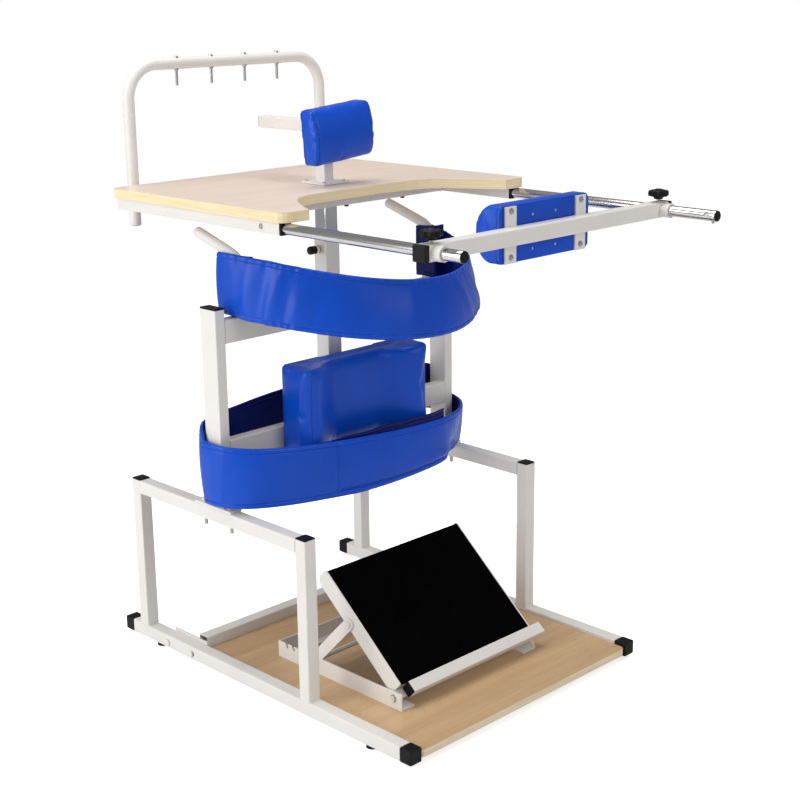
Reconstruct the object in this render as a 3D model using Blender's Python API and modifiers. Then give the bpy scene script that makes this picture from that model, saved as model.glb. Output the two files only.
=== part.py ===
"""Standing frame: tubular base, footboard, knee and hip support, table, and a chest and back rest.

Units are metres and +Z is up. The person stands on the platform, faces +Y and leans on the table, so -Y is
the open entry side. X is across the frame. The origin lies on the floor, midway along and across the object.
"""

import math

import bmesh
import bpy
import numpy as np
from mathutils import Matrix

# Driving dimensions
GAP = 0.0003  # what two touching pieces keep between their faces

BASE_WIDTH = 0.700  # outside to outside of the two side frames
BASE_LENGTH = 0.930  # along the bottom rails, over their end caps
SIDE_HEIGHT = 0.3865  # floor to the top of a side frame
TUBE = 0.030  # square tube of the side frames
TUBE_WALL = 0.0015
RAIL_UNDER = 0.008  # floor to the underside of the bottom rails
CAP_LONG = 0.030  # how far an end cap reaches along its rail
FRONT_UPRIGHT_Y = -0.1605
REAR_UPRIGHT_Y = 0.3926
PAD_Y = 0.344  # the floor pads, to each side of the middle
PLATFORM_TOP = 0.030
PLATFORM_THICK = 0.016
CROSS_RAIL_Y = 0.215
CROSS_RAIL_TOP = 0.055

FOOT_X = -0.0285  # the footboard stands a little to one side
FOOT_WIDTH = 0.413  # over its two racks
ANGLE = 0.038  # leg of the angle bars
SHEET = 0.003
RACK_FRONT_Y = -0.325
RACK_REAR_Y = 0.055
RACK_TOP = 0.067
NOTCH_PITCH = 0.021
NOTCH_COUNT = 5
NOTCH_DEPTH = 0.0112
NOTCH_LEAN = 0.0060  # how far a notch's mouth lies behind its bottom
ROD = 0.005  # foot rod of the prop
FOOT_PIVOT = (-0.302, 0.0523)  # y and z of the footboard's hinge
FOOT_TILT = 40.7  # degrees above level
FOOT_LIFT = 8.0  # degrees the board can be raised, to take the prop out of its notch
FOOT_FRONT = 0.0115  # hinge to the board's lower edge, along it
FOOT_REAR = 0.299
FOOT_FACE = 0.0325  # hinge to the top of the side bars, square to the board
BOARD_THICK = 0.010
HEEL_BAR = 0.0255
HEEL_SPAN = (-0.205, 0.202)
PROP_ALONG = 0.1797  # hinge to the prop's pivot, along the board
PROP_REACH = 0.1564  # the prop's pivot to its foot rod
PROP_WIDE = 0.025

POST_X = BASE_WIDTH / 2 - TUBE / 2
POST_WIDE = 0.025
POST_DEEP = 0.050
POST_Y = 0.1067
POST_TOP = 0.8130
BOLT = 0.008
FOOT_BOLTS_Y = (0.0735, 0.160)
FOOT_PLATE = 0.005
LOWER_BAR_TOP = 0.5365
UPPER_BAR_TOP = 0.791
COLUMN = 0.040  # outer column
COLUMN_WALL = 0.002
COLUMN_TOP = 0.930
COLUMN_FIT = 0.0003  # clearance all round the inner column
INNER_COLUMN = COLUMN - 2 * (COLUMN_WALL + COLUMN_FIT)
INNER_WALL = 0.002
CROSS_CLEAR = 0.0026  # the table's front cross rail to the inner column
INNER_DOWN = 0.310  # how far the inner column reaches into the outer one
HANDLE_X = 0.2766
HANDLE_R = 0.011
HANDLE_END = (0.2175, 0.9514)  # y and z of a handle's free end
HANDLE_SLOPE = 17.0  # degrees
HANDLE_BEND = 0.060
PIN_Z = 0.892

TABLE_WIDTH = 0.700
TABLE_FRONT = -0.140
TABLE_REAR = 0.416
TABLE_TOP = 1.0326
TABLE_THICK = 0.020
SLIDE_X = 0.328  # the sliding tubes and the rails that hold them
SLIDE_R = 0.011
SLIDE_WALL = 0.0015
SLIDE_LONG = 0.700
SLIDE_FIT = 0.0003  # clearance all round a sliding tube
TABLE_RAIL_WALL = 0.0012
TABLE_RAIL = 2 * (SLIDE_R + SLIDE_FIT + TABLE_RAIL_WALL)
TABLE_RAIL_FRONT = -0.119
LEFT_TUBE_END = -0.583
RIGHT_TUBE_END = -0.646
ARCH_X = 0.273
ARCH_Y = 0.445
ARCH_R = 0.0125
ARCH_BEND = 0.072
ARCH_FOOT = 0.058  # how far the legs reach below the middle of the table rails
ARCH_TOP = 1.281
PEG_X = (-0.143, -0.0475, 0.0475, 0.143)
PEG_LOW = 0.048
CHEST_POST = 0.025
CHEST_ARM = 0.025
CHEST_ARM_Z = 1.1527
CHEST_ARM_REAR = 0.328
CHEST_PAD = (0.172, 0.121, 0.050)  # width, height and depth at the crown
CHEST_PAD_CROWN = 0.014
CHEST_PAD_Z = 1.1415
CHEST_PAD_BACK = 0.107
CHEST_PAD_X = 0.003
CHEST_PAD_ROLL = 5.0  # degrees, its right side up
CHEST_FOOT = 0.072

BAR = 0.030
BAR_FRONT = -0.519
BAR_LONG = 0.690
STRAP_X = 0.101
STRAP_WIDE = 0.030
STRAP_SPAN = (0.946, 1.051)
BACK_PAD = (0.266, 0.115, 0.068)  # width, height and depth at the crown
BACK_PAD_CROWN = 0.030
BAR_CAP = 0.012
KNOB_R = 0.021

KNEE_BLOCK = (0.370, 0.200)  # width and height
KNEE_BLOCK_TOP = 0.678
KNEE_WING_Y = -0.006
KNEE_RECESS_Y = 0.038
BELT_THICK = 0.010
KNEE_BELT_HALF = 0.3575  # half the knee belt's width as its line is drawn, round posts in their place
SLEEVE_SHEET = 0.004
SLEEVE_CLEAR = 0.0012
SLEEVE_TOP = 0.917

ARCH_BOLT = 0.016  # how far the arch's bolts stick out behind its legs' middle
FRAME_Y = -(RIGHT_TUBE_END + BASE_LENGTH / 2) / 2  # brings the middle of the whole object to y = 0


# Scene and materials
def clear_scene():
    for obj in list(bpy.data.objects):
        bpy.data.objects.remove(obj, do_unlink=True)
    for group in list(bpy.data.collections):
        bpy.data.collections.remove(group)


def principled(name, colour, roughness, metallic=0.0):
    mat = bpy.data.materials.new(name)
    mat.use_nodes = True
    shader = mat.node_tree.nodes["Principled BSDF"]
    shader.inputs["Base Color"].default_value = (*colour, 1.0)
    shader.inputs["Roughness"].default_value = roughness
    shader.inputs["Metallic"].default_value = metallic
    mat.diffuse_color = (*colour, 1.0)
    return mat


clear_scene()
PARTS = bpy.data.collections.new("standing_frame")
bpy.context.scene.collection.children.link(PARTS)
HELPERS = bpy.data.collections.new("helpers")
bpy.context.scene.collection.children.link(HELPERS)

WHITE = principled("off_white_powder_coat", (0.79, 0.76, 0.71), 0.42)
BLACK = principled("black_plastic", (0.012, 0.012, 0.013), 0.48)
RUBBER = principled("black_rubber", (0.010, 0.010, 0.010), 0.85)
BEECH = principled("beech_laminate", (0.62, 0.43, 0.27), 0.45)
TABLE = principled("pale_laminate", (0.79, 0.66, 0.56), 0.40)
VINYL = principled("blue_vinyl", (0.016, 0.085, 0.45), 0.36)
CHROME = principled("chrome", (0.80, 0.80, 0.81), 0.08, 1.0)
ZINC = principled("zinc", (0.62, 0.62, 0.60), 0.35, 1.0)


# Making pieces
def smooth_by_angle(mesh, degrees=32.0):
    mesh.shade_smooth()
    mesh.set_sharp_from_angle(angle=math.radians(degrees))


def add(name, mesh, mat, location=(0.0, 0.0, 0.0), rotation=(0.0, 0.0, 0.0), helper=False):
    """Puts the mesh into the scene as a named object, as a part or as a hidden helper."""
    mesh.name = name
    mesh.materials.clear()
    mesh.materials.append(mat)
    obj = bpy.data.objects.new(name, mesh)
    obj.location = location
    obj.rotation_euler = rotation
    (HELPERS if helper else PARTS).objects.link(obj)
    if helper:
        obj.hide_render = True
        obj.display_type = "WIRE"
    return obj


def mesh_of(bm, name):
    bm.normal_update()
    bmesh.ops.recalc_face_normals(bm, faces=bm.faces)
    mesh = bpy.data.meshes.new(name)
    bm.to_mesh(mesh)
    bm.free()
    return mesh


def box(name, size, location, mat, bevel=0.0, helper=False, rotation=(0.0, 0.0, 0.0)):
    bm = bmesh.new()
    bmesh.ops.create_cube(bm, size=1.0)
    bmesh.ops.scale(bm, vec=size, verts=bm.verts)
    if bevel:
        bmesh.ops.bevel(bm, geom=bm.edges[:], offset=bevel, segments=2, profile=0.6, affect="EDGES")
    mesh = mesh_of(bm, name)
    if bevel:
        smooth_by_angle(mesh)
    return add(name, mesh, mat, location, rotation, helper)


def square_tube(name, axis, length, across, wall, location, mat, corner=0.0022, rotation=(0.0, 0.0, 0.0)):
    """A square tube with open ends: a box's four long faces, corners rounded, given a wall inwards."""
    size = list(across)
    size.insert("XYZ".index(axis), length)
    bm = bmesh.new()
    bmesh.ops.create_cube(bm, size=1.0)
    bmesh.ops.scale(bm, vec=size, verts=bm.verts)
    k = "XYZ".index(axis)
    ends = [face for face in bm.faces if abs(face.normal[k]) > 0.9]
    bmesh.ops.delete(bm, geom=ends, context="FACES_ONLY")
    long_edges = [e for e in bm.edges if abs(e.verts[0].co[k] - e.verts[1].co[k]) > length * 0.5]
    bmesh.ops.bevel(bm, geom=long_edges, offset=corner, segments=2, profile=0.5, affect="EDGES")
    mesh = mesh_of(bm, name)
    smooth_by_angle(mesh, 50.0)
    obj = add(name, mesh, mat, location, rotation)
    shell = obj.modifiers.new("wall", "SOLIDIFY")
    shell.thickness = wall
    shell.offset = -1.0
    shell.use_even_offset = True
    return obj


def turned(axis):
    return {"X": (0.0, math.pi / 2, 0.0), "Y": (math.pi / 2, 0.0, 0.0), "Z": (0.0, 0.0, 0.0)}[axis]


def round_bar(name, axis, length, radius, location, mat, segments=24, helper=False, top=None, rotation=None):
    bm = bmesh.new()
    far = radius if top is None else top
    bmesh.ops.create_cone(
        bm, cap_ends=True, segments=segments, radius1=radius, radius2=far, depth=length
    )
    if helper and segments > 6:  # keeps its edges off the edges of what it joins or cuts
        bmesh.ops.rotate(bm, cent=(0.0, 0.0, 0.0), matrix=Matrix.Rotation(0.09, 3, "Z"), verts=bm.verts)
    mesh = mesh_of(bm, name)
    smooth_by_angle(mesh)
    return add(name, mesh, mat, location, rotation or turned(axis), helper)


def pipe(name, axis, length, radius, wall, location, mat, segments=32):
    bm = bmesh.new()
    bmesh.ops.create_cone(
        bm, cap_ends=False, segments=segments, radius1=radius, radius2=radius, depth=length
    )
    mesh = mesh_of(bm, name)
    smooth_by_angle(mesh)
    obj = add(name, mesh, mat, location, turned(axis))
    shell = obj.modifiers.new("wall", "SOLIDIFY")
    shell.thickness = wall
    shell.offset = -1.0
    shell.use_even_offset = True
    return obj


def plate(name, outline, thickness, mat, location=(0.0, 0.0, 0.0), rotation=(0.0, 0.0, 0.0), helper=False):
    """A flat outline in its own x and y, filled and given its thickness along its own z."""
    curve = bpy.data.curves.new(name, "CURVE")
    curve.dimensions = "2D"
    curve.fill_mode = "BOTH"
    curve.extrude = thickness / 2
    line = curve.splines.new("POLY")
    line.points.add(len(outline) - 1)
    for point, (x, y) in zip(line.points, outline):
        point.co = (x, y, 0.0, 1.0)
    line.use_cyclic_u = True
    return add_from_curve(name, curve, mat, location, rotation, helper)


def add_from_curve(name, curve, mat, location, rotation, helper):
    source = bpy.data.objects.new(name + "_curve", curve)
    mesh = bpy.data.meshes.new_from_object(source)
    bpy.data.objects.remove(source)
    bm = bmesh.new()
    bm.from_mesh(mesh)
    bmesh.ops.remove_doubles(bm, verts=bm.verts, dist=1e-6)
    bmesh.ops.recalc_face_normals(bm, faces=bm.faces)
    bm.to_mesh(mesh)
    bm.free()
    smooth_by_angle(mesh)
    return add(name, mesh, mat, location, rotation, helper)


def bent_tube(name, points, radius, wall, mat, location=(0.0, 0.0, 0.0)):
    """A round tube along the points. With a wall it is hollow and open at both ends."""
    curve = bpy.data.curves.new(name, "CURVE")
    curve.dimensions = "3D"
    curve.bevel_depth = radius
    curve.bevel_resolution = 4
    curve.use_fill_caps = not wall
    line = curve.splines.new("POLY")
    line.points.add(len(points) - 1)
    for point, co in zip(line.points, points):
        point.co = (*co, 1.0)
    obj = add_from_curve(name, curve, mat, location, (0.0, 0.0, 0.0), False)
    if wall:
        shell = obj.modifiers.new("wall", "SOLIDIFY")
        shell.thickness = wall
        shell.offset = -1.0
    return obj


def boolean(obj, other, operation):
    step = obj.modifiers.new(operation.lower(), "BOOLEAN")
    step.operation = operation
    step.solver = "EXACT"
    step.object = other


def cut(obj, *cutters):
    for cutter in cutters:
        boolean(obj, cutter, "DIFFERENCE")


def join(obj, *others):
    for other in others:
        boolean(obj, other, "UNION")


def arc(centre, radius, start, end, steps):
    """Points (a, b) on a circle from one angle to the other, in degrees."""
    angles = np.radians(np.linspace(start, end, steps))
    return [(centre[0] + radius * math.cos(t), centre[1] + radius * math.sin(t)) for t in angles]


def bezier(control, t):
    control = np.asarray(control, float)
    n = len(control) - 1
    total = 0.0
    for k, point in enumerate(control):
        total = total + math.comb(n, k) * (1 - t[:, None]) ** (n - k) * t[:, None] ** k * point
    return total


# Base
SIDE_X = (BASE_WIDTH - TUBE) / 2
RAIL_Z = RAIL_UNDER + TUBE / 2
RAIL_TOP = RAIL_UNDER + TUBE
TOP_RAIL_Z = SIDE_HEIGHT - TUBE / 2


def side_frame(side, s):
    x = s * SIDE_X
    rail_long = BASE_LENGTH - 2 * CAP_LONG - 2 * GAP
    rail = square_tube(
        "bottom_rail_" + side, "Y", rail_long, (TUBE, TUBE), TUBE_WALL, (x, 0.0, RAIL_Z), WHITE
    )
    ledge = box(
        "platform_ledge_" + side,
        (0.021, 0.600, SHEET),
        (s * (SIDE_X - TUBE / 2 - 0.0095), -0.120, PLATFORM_TOP - PLATFORM_THICK - GAP - SHEET / 2),
        WHITE,
        helper=True,
    )
    join(rail, ledge)
    for place, y in zip("ab", CROSS_BOLTS_Y):
        hole = round_bar(
            "rail_hole_" + side + place, "X", TUBE * 1.6, BOLT / 2 + GAP, (x, y, CROSS_BOLT_Z), ZINC, 16, True
        )
        cut(rail, hole)
    upright_long = SIDE_HEIGHT - RAIL_TOP - GAP
    for end, y in (("front", FRONT_UPRIGHT_Y), ("rear", REAR_UPRIGHT_Y)):
        square_tube(
            end + "_upright_" + side,
            "Z",
            upright_long,
            (TUBE, TUBE),
            TUBE_WALL,
            (x, y, SIDE_HEIGHT - upright_long / 2),
            WHITE,
        )
    start = FRONT_UPRIGHT_Y + TUBE / 2 + GAP
    stop = REAR_UPRIGHT_Y - TUBE / 2 - GAP
    top = square_tube(
        "top_rail_" + side,
        "Y",
        stop - start,
        (TUBE, TUBE),
        TUBE_WALL,
        (x, (start + stop) / 2, TOP_RAIL_Z),
        WHITE,
    )
    for place, y in zip("ab", FOOT_BOLTS_Y):
        hole = round_bar(
            "top_hole_" + side + place, "Z", TUBE * 1.6, BOLT / 2 + GAP, (x, y, TOP_RAIL_Z), ZINC, 16, True
        )
        cut(top, hole)
    for end, k in (("front", -1), ("rear", 1)):
        end_cap(
            "rail_cap_" + end + "_" + side,
            "Y",
            k,
            (x, k * (BASE_LENGTH - CAP_LONG) / 2, RAIL_Z),
            CAP_LONG,
            TUBE,
            TUBE_WALL,
        )
        round_bar(
            "floor_pad_" + end + "_" + side,
            "Z",
            RAIL_UNDER - GAP,
            0.013,
            (x, k * PAD_Y, (RAIL_UNDER - GAP) / 2),
            RUBBER,
            24,
            top=0.011,
        )


def end_cap(name, axis, k, location, length, size, wall, reach=0.015):
    """A square cap with chamfered edges and a plug that reaches into its tube."""
    cap_size = [size + 0.001] * 3
    cap_size["XYZ".index(axis)] = length
    cap = box(name, cap_size, location, BLACK, bevel=0.003)
    plug_size = [size - 2 * wall - 2 * GAP] * 3
    plug_size["XYZ".index(axis)] = reach + 0.006
    where = list(location)
    where["XYZ".index(axis)] -= k * (length + reach - 0.006) / 2
    plug = box(name + "_plug", plug_size, where, BLACK, bevel=0.0015, helper=True)
    join(cap, plug)
    return cap


CROSS_BOLTS_Y = (0.218, 0.304)
CROSS_BOLT_Z = 0.0215


def base():
    for side, s in (("left", -1), ("right", 1)):
        side_frame(side, s)
    inner = SIDE_X - TUBE / 2
    plate_thick = 0.004
    cross = square_tube(
        "rear_cross_rail",
        "X",
        2 * (inner - plate_thick - GAP) + 0.002,
        (TUBE, TUBE),
        TUBE_WALL,
        (0.0, CROSS_RAIL_Y, CROSS_RAIL_TOP - TUBE / 2),
        WHITE,
    )
    for side, s in (("left", -1), ("right", 1)):
        end_plate = box(
            "cross_plate_" + side,
            (plate_thick, 0.116, 0.032),
            (s * (inner - GAP - plate_thick / 2), CROSS_RAIL_Y + 0.043, 0.028),
            WHITE,
            helper=True,
        )
        join(cross, end_plate)
        for place, y in zip("ab", CROSS_BOLTS_Y):
            shank_from = inner - 0.009
            shank_to = inner + TUBE + 0.0045
            shank = round_bar(
                "cross_bolt_" + side + place,
                "X",
                shank_to - shank_from,
                BOLT / 2,
                (s * (shank_from + shank_to) / 2, y, CROSS_BOLT_Z),
                WHITE,
                16,
                True,
            )
            head = round_bar(
                "cross_head_" + side + place,
                "X",
                0.0042,
                0.0072,
                (s * (inner + TUBE + GAP + 0.0021), y, CROSS_BOLT_Z),
                WHITE,
                6,
                True,
            )
            join(cross, shank, head)
    rear = CROSS_RAIL_Y - TUBE / 2 - GAP
    front = -BASE_LENGTH / 2
    half = inner - 3 * GAP
    outline = [(half, rear), (-half, rear)]
    outline += arc((-half + 0.012, front + 0.012), 0.012, 180, 270, 5)
    outline += arc((half - 0.012, front + 0.012), 0.012, 270, 360, 5)
    plate("platform", outline, PLATFORM_THICK, BEECH, (0.0, 0.0, PLATFORM_TOP - PLATFORM_THICK / 2))


# Footboard
def board_frame():
    """The unit vectors of the tilted board, along it and square to it, as (y, z) pairs."""
    t = math.radians(FOOT_TILT)
    return (math.cos(t), math.sin(t)), (-math.sin(t), math.cos(t))


def prop_pivot():
    (cy, cz), (ny, nz) = board_frame()
    return (
        FOOT_PIVOT[0] + PROP_ALONG * cy + 0.003 * ny,
        FOOT_PIVOT[1] + PROP_ALONG * cz + 0.003 * nz,
    )


def rod_place():
    """Where the prop's foot rod lies: at the bottom of its notch, one reach away from the prop's pivot."""
    y, z = prop_pivot()
    rod_z = RACK_TOP - NOTCH_DEPTH + ROD / 2 + 2 * GAP
    return y + math.sqrt(PROP_REACH**2 - (z - rod_z) ** 2), rod_z


def rack_outline(side):
    """The upright leg of a rack as (y, z): slanted notches along the top, open towards the rear.

    The right rack is cut back in front, below the path of the heel stop that reaches over it.
    """
    floor = PLATFORM_TOP + GAP
    top = RACK_TOP
    rod_y, rod_z = rod_place()
    room = ROD / 2 + 0.0004
    lean = math.atan2(NOTCH_LEAN, NOTCH_DEPTH)
    rise = top - rod_z
    outline = [(RACK_FRONT_Y, floor), (RACK_REAR_Y, floor), (RACK_REAR_Y, top)]
    for k in reversed(range(NOTCH_COUNT)):
        y = rod_y + k * NOTCH_PITCH
        mouth = y + rise * math.tan(lean)
        half = room / math.cos(lean)
        outline.append((mouth + half + 0.0006, top))
        outline += arc((y, rod_z), room * 1.04, -math.degrees(lean), -180 - math.degrees(lean), 7)
        outline.append((mouth - half - 0.0003, top))
    if side == "left":
        return outline + [(RACK_FRONT_Y, top)]
    keep = 0.0070  # what is left round the hinge stud
    (cy, cz), (ny, nz) = board_frame()
    py, pz = FOOT_PIVOT
    outline.append((py + cy * 0.0135 + ny * keep, pz + cz * 0.0135 + nz * keep))
    outline += arc((py, pz), keep, 90 + FOOT_TILT, 90 + FOOT_TILT + FOOT_LIFT, 3)
    steep = math.radians(FOOT_TILT + FOOT_LIFT)
    y, z = outline[-1]
    outline.append((RACK_FRONT_Y, z - (y - RACK_FRONT_Y) * math.tan(steep)))
    return outline


def rack(side, s):
    """An angle bar lying along the platform, its upright leg notched and with a hinge stud at its front."""
    outer = FOOT_X + s * FOOT_WIDTH / 2
    floor = PLATFORM_TOP + GAP
    long = RACK_REAR_Y - RACK_FRONT_Y
    mid = (RACK_REAR_Y + RACK_FRONT_Y) / 2
    name = "rack_" + side
    leg = plate(
        name,
        rack_outline(side),
        SHEET,
        WHITE,
        (outer - s * SHEET / 2, 0.0, 0.0),
        (math.pi / 2, 0.0, math.pi / 2),
    )
    foot = box(
        name + "_foot",
        (ANGLE - 0.001, long - 0.001, SHEET),
        (outer - s * (ANGLE + 0.001) / 2, mid, floor + 0.0001 + SHEET / 2),
        WHITE,
        helper=True,
    )
    y, z = FOOT_PIVOT
    stud = round_bar(name + "_stud", "X", 0.0130, 0.0038, (outer - s * 0.0055, y, z), ZINC, 20, True)
    head = round_bar(name + "_head", "X", 0.0050, 0.0062, (outer + s * 0.0015, y, z), ZINC, 6, True)
    join(leg, foot, stud, head)


def sheet_bar(name, outline, x, helper=False):
    """A bar cut from sheet, standing along the frame at the given x, its outline given as (y, z)."""
    bar = plate(name, outline, SHEET, WHITE, (x, 0.0, 0.0), (math.pi / 2, 0.0, math.pi / 2), helper)
    freeze(bar)
    return bar


def footboard():
    racks_inner = FOOT_WIDTH / 2 - SHEET
    floor = PLATFORM_TOP + GAP
    for side, s in (("left", -1), ("right", 1)):
        rack(side, s)
    on_feet = floor + SHEET + GAP
    rear = box(
        "rack_rear_plate",
        (2 * (racks_inner - GAP), SHEET, RACK_TOP - on_feet),
        (FOOT_X, RACK_REAR_Y - 0.003, (RACK_TOP + on_feet) / 2),
        WHITE,
    )
    rear_lip = box(
        "rear_plate_lip",
        (2 * (racks_inner - GAP), 0.022, SHEET),
        (FOOT_X, RACK_REAR_Y - 0.015, on_feet + SHEET / 2),
        WHITE,
        helper=True,
    )
    join(rear, rear_lip)
    tilting_frame(racks_inner)
    prop(racks_inner)


def tilting_frame(racks_inner):
    """The board's frame, modelled level with the hinge at its origin and turned about X."""
    turn = (math.radians(FOOT_TILT), 0.0, 0.0)
    hinge = (FOOT_X, FOOT_PIVOT[0], FOOT_PIVOT[1])
    half = racks_inner - SHEET - 3 * GAP  # leaves room for the prop's arms beside the racks
    low = -0.006
    shelf = 0.0072
    outline = [(-0.0085, low), (FOOT_REAR - 0.016, low)]
    outline += arc((FOOT_REAR - 0.014, low + 0.014), 0.014, 280, 360, 5)
    outline += arc((FOOT_REAR - 0.008, FOOT_FACE - 0.008), 0.008, 0, 90, 4)
    outline += [(FOOT_FRONT, FOOT_FACE), (FOOT_FRONT, shelf), (-0.0085, shelf)]
    frame = sheet_bar("tilt_frame", outline, -(half - SHEET / 2))
    pieces = [sheet_bar("tilt_side_right", outline, half - SHEET / 2, True)]
    board_low = FOOT_FACE - GAP - BOARD_THICK
    ledge_z = board_low - GAP - SHEET / 2
    span = 2 * half - 0.002
    where = (0.0, 0.0015, shelf - SHEET / 2)
    pieces.append(box("tilt_shelf", (span, 0.019, SHEET), where, WHITE, helper=True))
    for name, y, deep in (("front", 0.0235, 0.024), ("rear", FOOT_REAR - 0.024, 0.028)):
        ledge = box("tilt_ledge_" + name, (span, deep, SHEET), (0.0, y, ledge_z), WHITE, helper=True)
        pieces.append(ledge)
    where = (0.0, FOOT_FRONT + 0.005, ledge_z - 0.0120)
    pieces.append(box("tilt_cross", (span, SHEET, 0.024), where, WHITE, helper=True))
    for side, s in (("left", -1), ("right", 1)):
        where = (s * (half - 0.011), (FOOT_REAR + FOOT_FRONT) / 2, ledge_z)
        pieces.append(box("tilt_ledge_" + side, (0.020, 0.270, SHEET), where, WHITE, helper=True))
        where = (s * (half + 0.0010), PROP_ALONG, 0.003)
        pieces.append(round_bar("prop_stud_" + side, "X", 0.0080, 0.0038, where, ZINC, 20, True))
        where = (s * (half + 0.0058), PROP_ALONG, 0.003)
        pieces.append(round_bar("prop_head_" + side, "X", 0.0032, 0.0068, where, ZINC, 6, True))
    join(frame, *pieces)
    for side, s in (("left", -1), ("right", 1)):
        cut(frame, round_bar("hinge_hole_" + side, "X", 0.02, 0.0041, (s * half, 0.0, 0.0), ZINC, 20, True))
    settle(frame, hinge, turn)

    board_rear = FOOT_REAR - 0.004
    board = box(
        "foot_plate",
        (2 * (half - SHEET - GAP), board_rear - FOOT_FRONT - 2 * GAP, BOARD_THICK),
        (0.0, (board_rear + FOOT_FRONT) / 2, board_low + BOARD_THICK / 2),
        RUBBER,
        bevel=0.0008,
    )
    freeze(board)
    settle(board, hinge, turn)

    heel_long = HEEL_SPAN[1] - HEEL_SPAN[0]
    stop = square_tube(
        "heel_stop",
        "X",
        heel_long,
        (HEEL_BAR, HEEL_BAR),
        TUBE_WALL,
        (sum(HEEL_SPAN) / 2 - FOOT_X, FOOT_FRONT - GAP - HEEL_BAR / 2, shelf + GAP + HEEL_BAR / 2),
        WHITE,
        corner=0.0018,
    )
    freeze(stop)
    settle(stop, hinge, turn)


def prop(racks_inner):
    """Two arms, a cross strip and a foot rod, modelled along +Y from their pivot and turned about X."""
    pivot_y, pivot_z = prop_pivot()
    rod_y, rod_z = rod_place()
    lean = math.atan2(rod_z - pivot_z, rod_y - pivot_y)
    arm_x = racks_inner - GAP - SHEET / 2
    outline = arc((0.0, 0.0), PROP_WIDE / 2, 90, 270, 9)
    outline += [(PROP_REACH - 0.012, -PROP_WIDE / 2)]
    outline += arc((PROP_REACH, 0.0), 0.0062, 270, 450, 7)
    outline += [(PROP_REACH - 0.012, PROP_WIDE / 2)]
    frame = sheet_bar("prop_frame", outline, -arm_x)
    other = sheet_bar("prop_arm_right", outline, arm_x, True)
    inner = 2 * arm_x
    strip = box("prop_strip", (inner, 0.013, SHEET), (0.0, PROP_REACH - 0.024, -0.0105), WHITE, helper=True)
    back = box("prop_back", (inner, 0.013, SHEET), (0.0, PROP_REACH - 0.060, 0.0085), WHITE, helper=True)
    rod = round_bar("prop_rod", "X", FOOT_WIDTH + 0.002, ROD / 2, (0.0, PROP_REACH, 0.0), ZINC, 16, True)
    join(frame, other, strip, back, rod)
    cut(frame, round_bar("prop_hole", "X", FOOT_WIDTH * 1.1, 0.0041, (0.0, 0.0, 0.0), ZINC, 20, True))
    settle(frame, (FOOT_X, pivot_y, pivot_z), (lean, 0.0, 0.0))


def freeze(obj):
    """Writes an object's own placing into its mesh."""
    obj.data.transform(obj.matrix_basis)
    obj.matrix_basis = Matrix.Identity(4)
    obj.data.update()


def settle(obj, location, rotation):
    """Moves a part and the helpers that shape it from the level pose to its place."""
    obj.location = location
    obj.rotation_euler = rotation
    for step in obj.modifiers:
        if step.type == "BOOLEAN":
            helper = step.object
            freeze(helper)
            helper.location = location
            helper.rotation_euler = rotation


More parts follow.
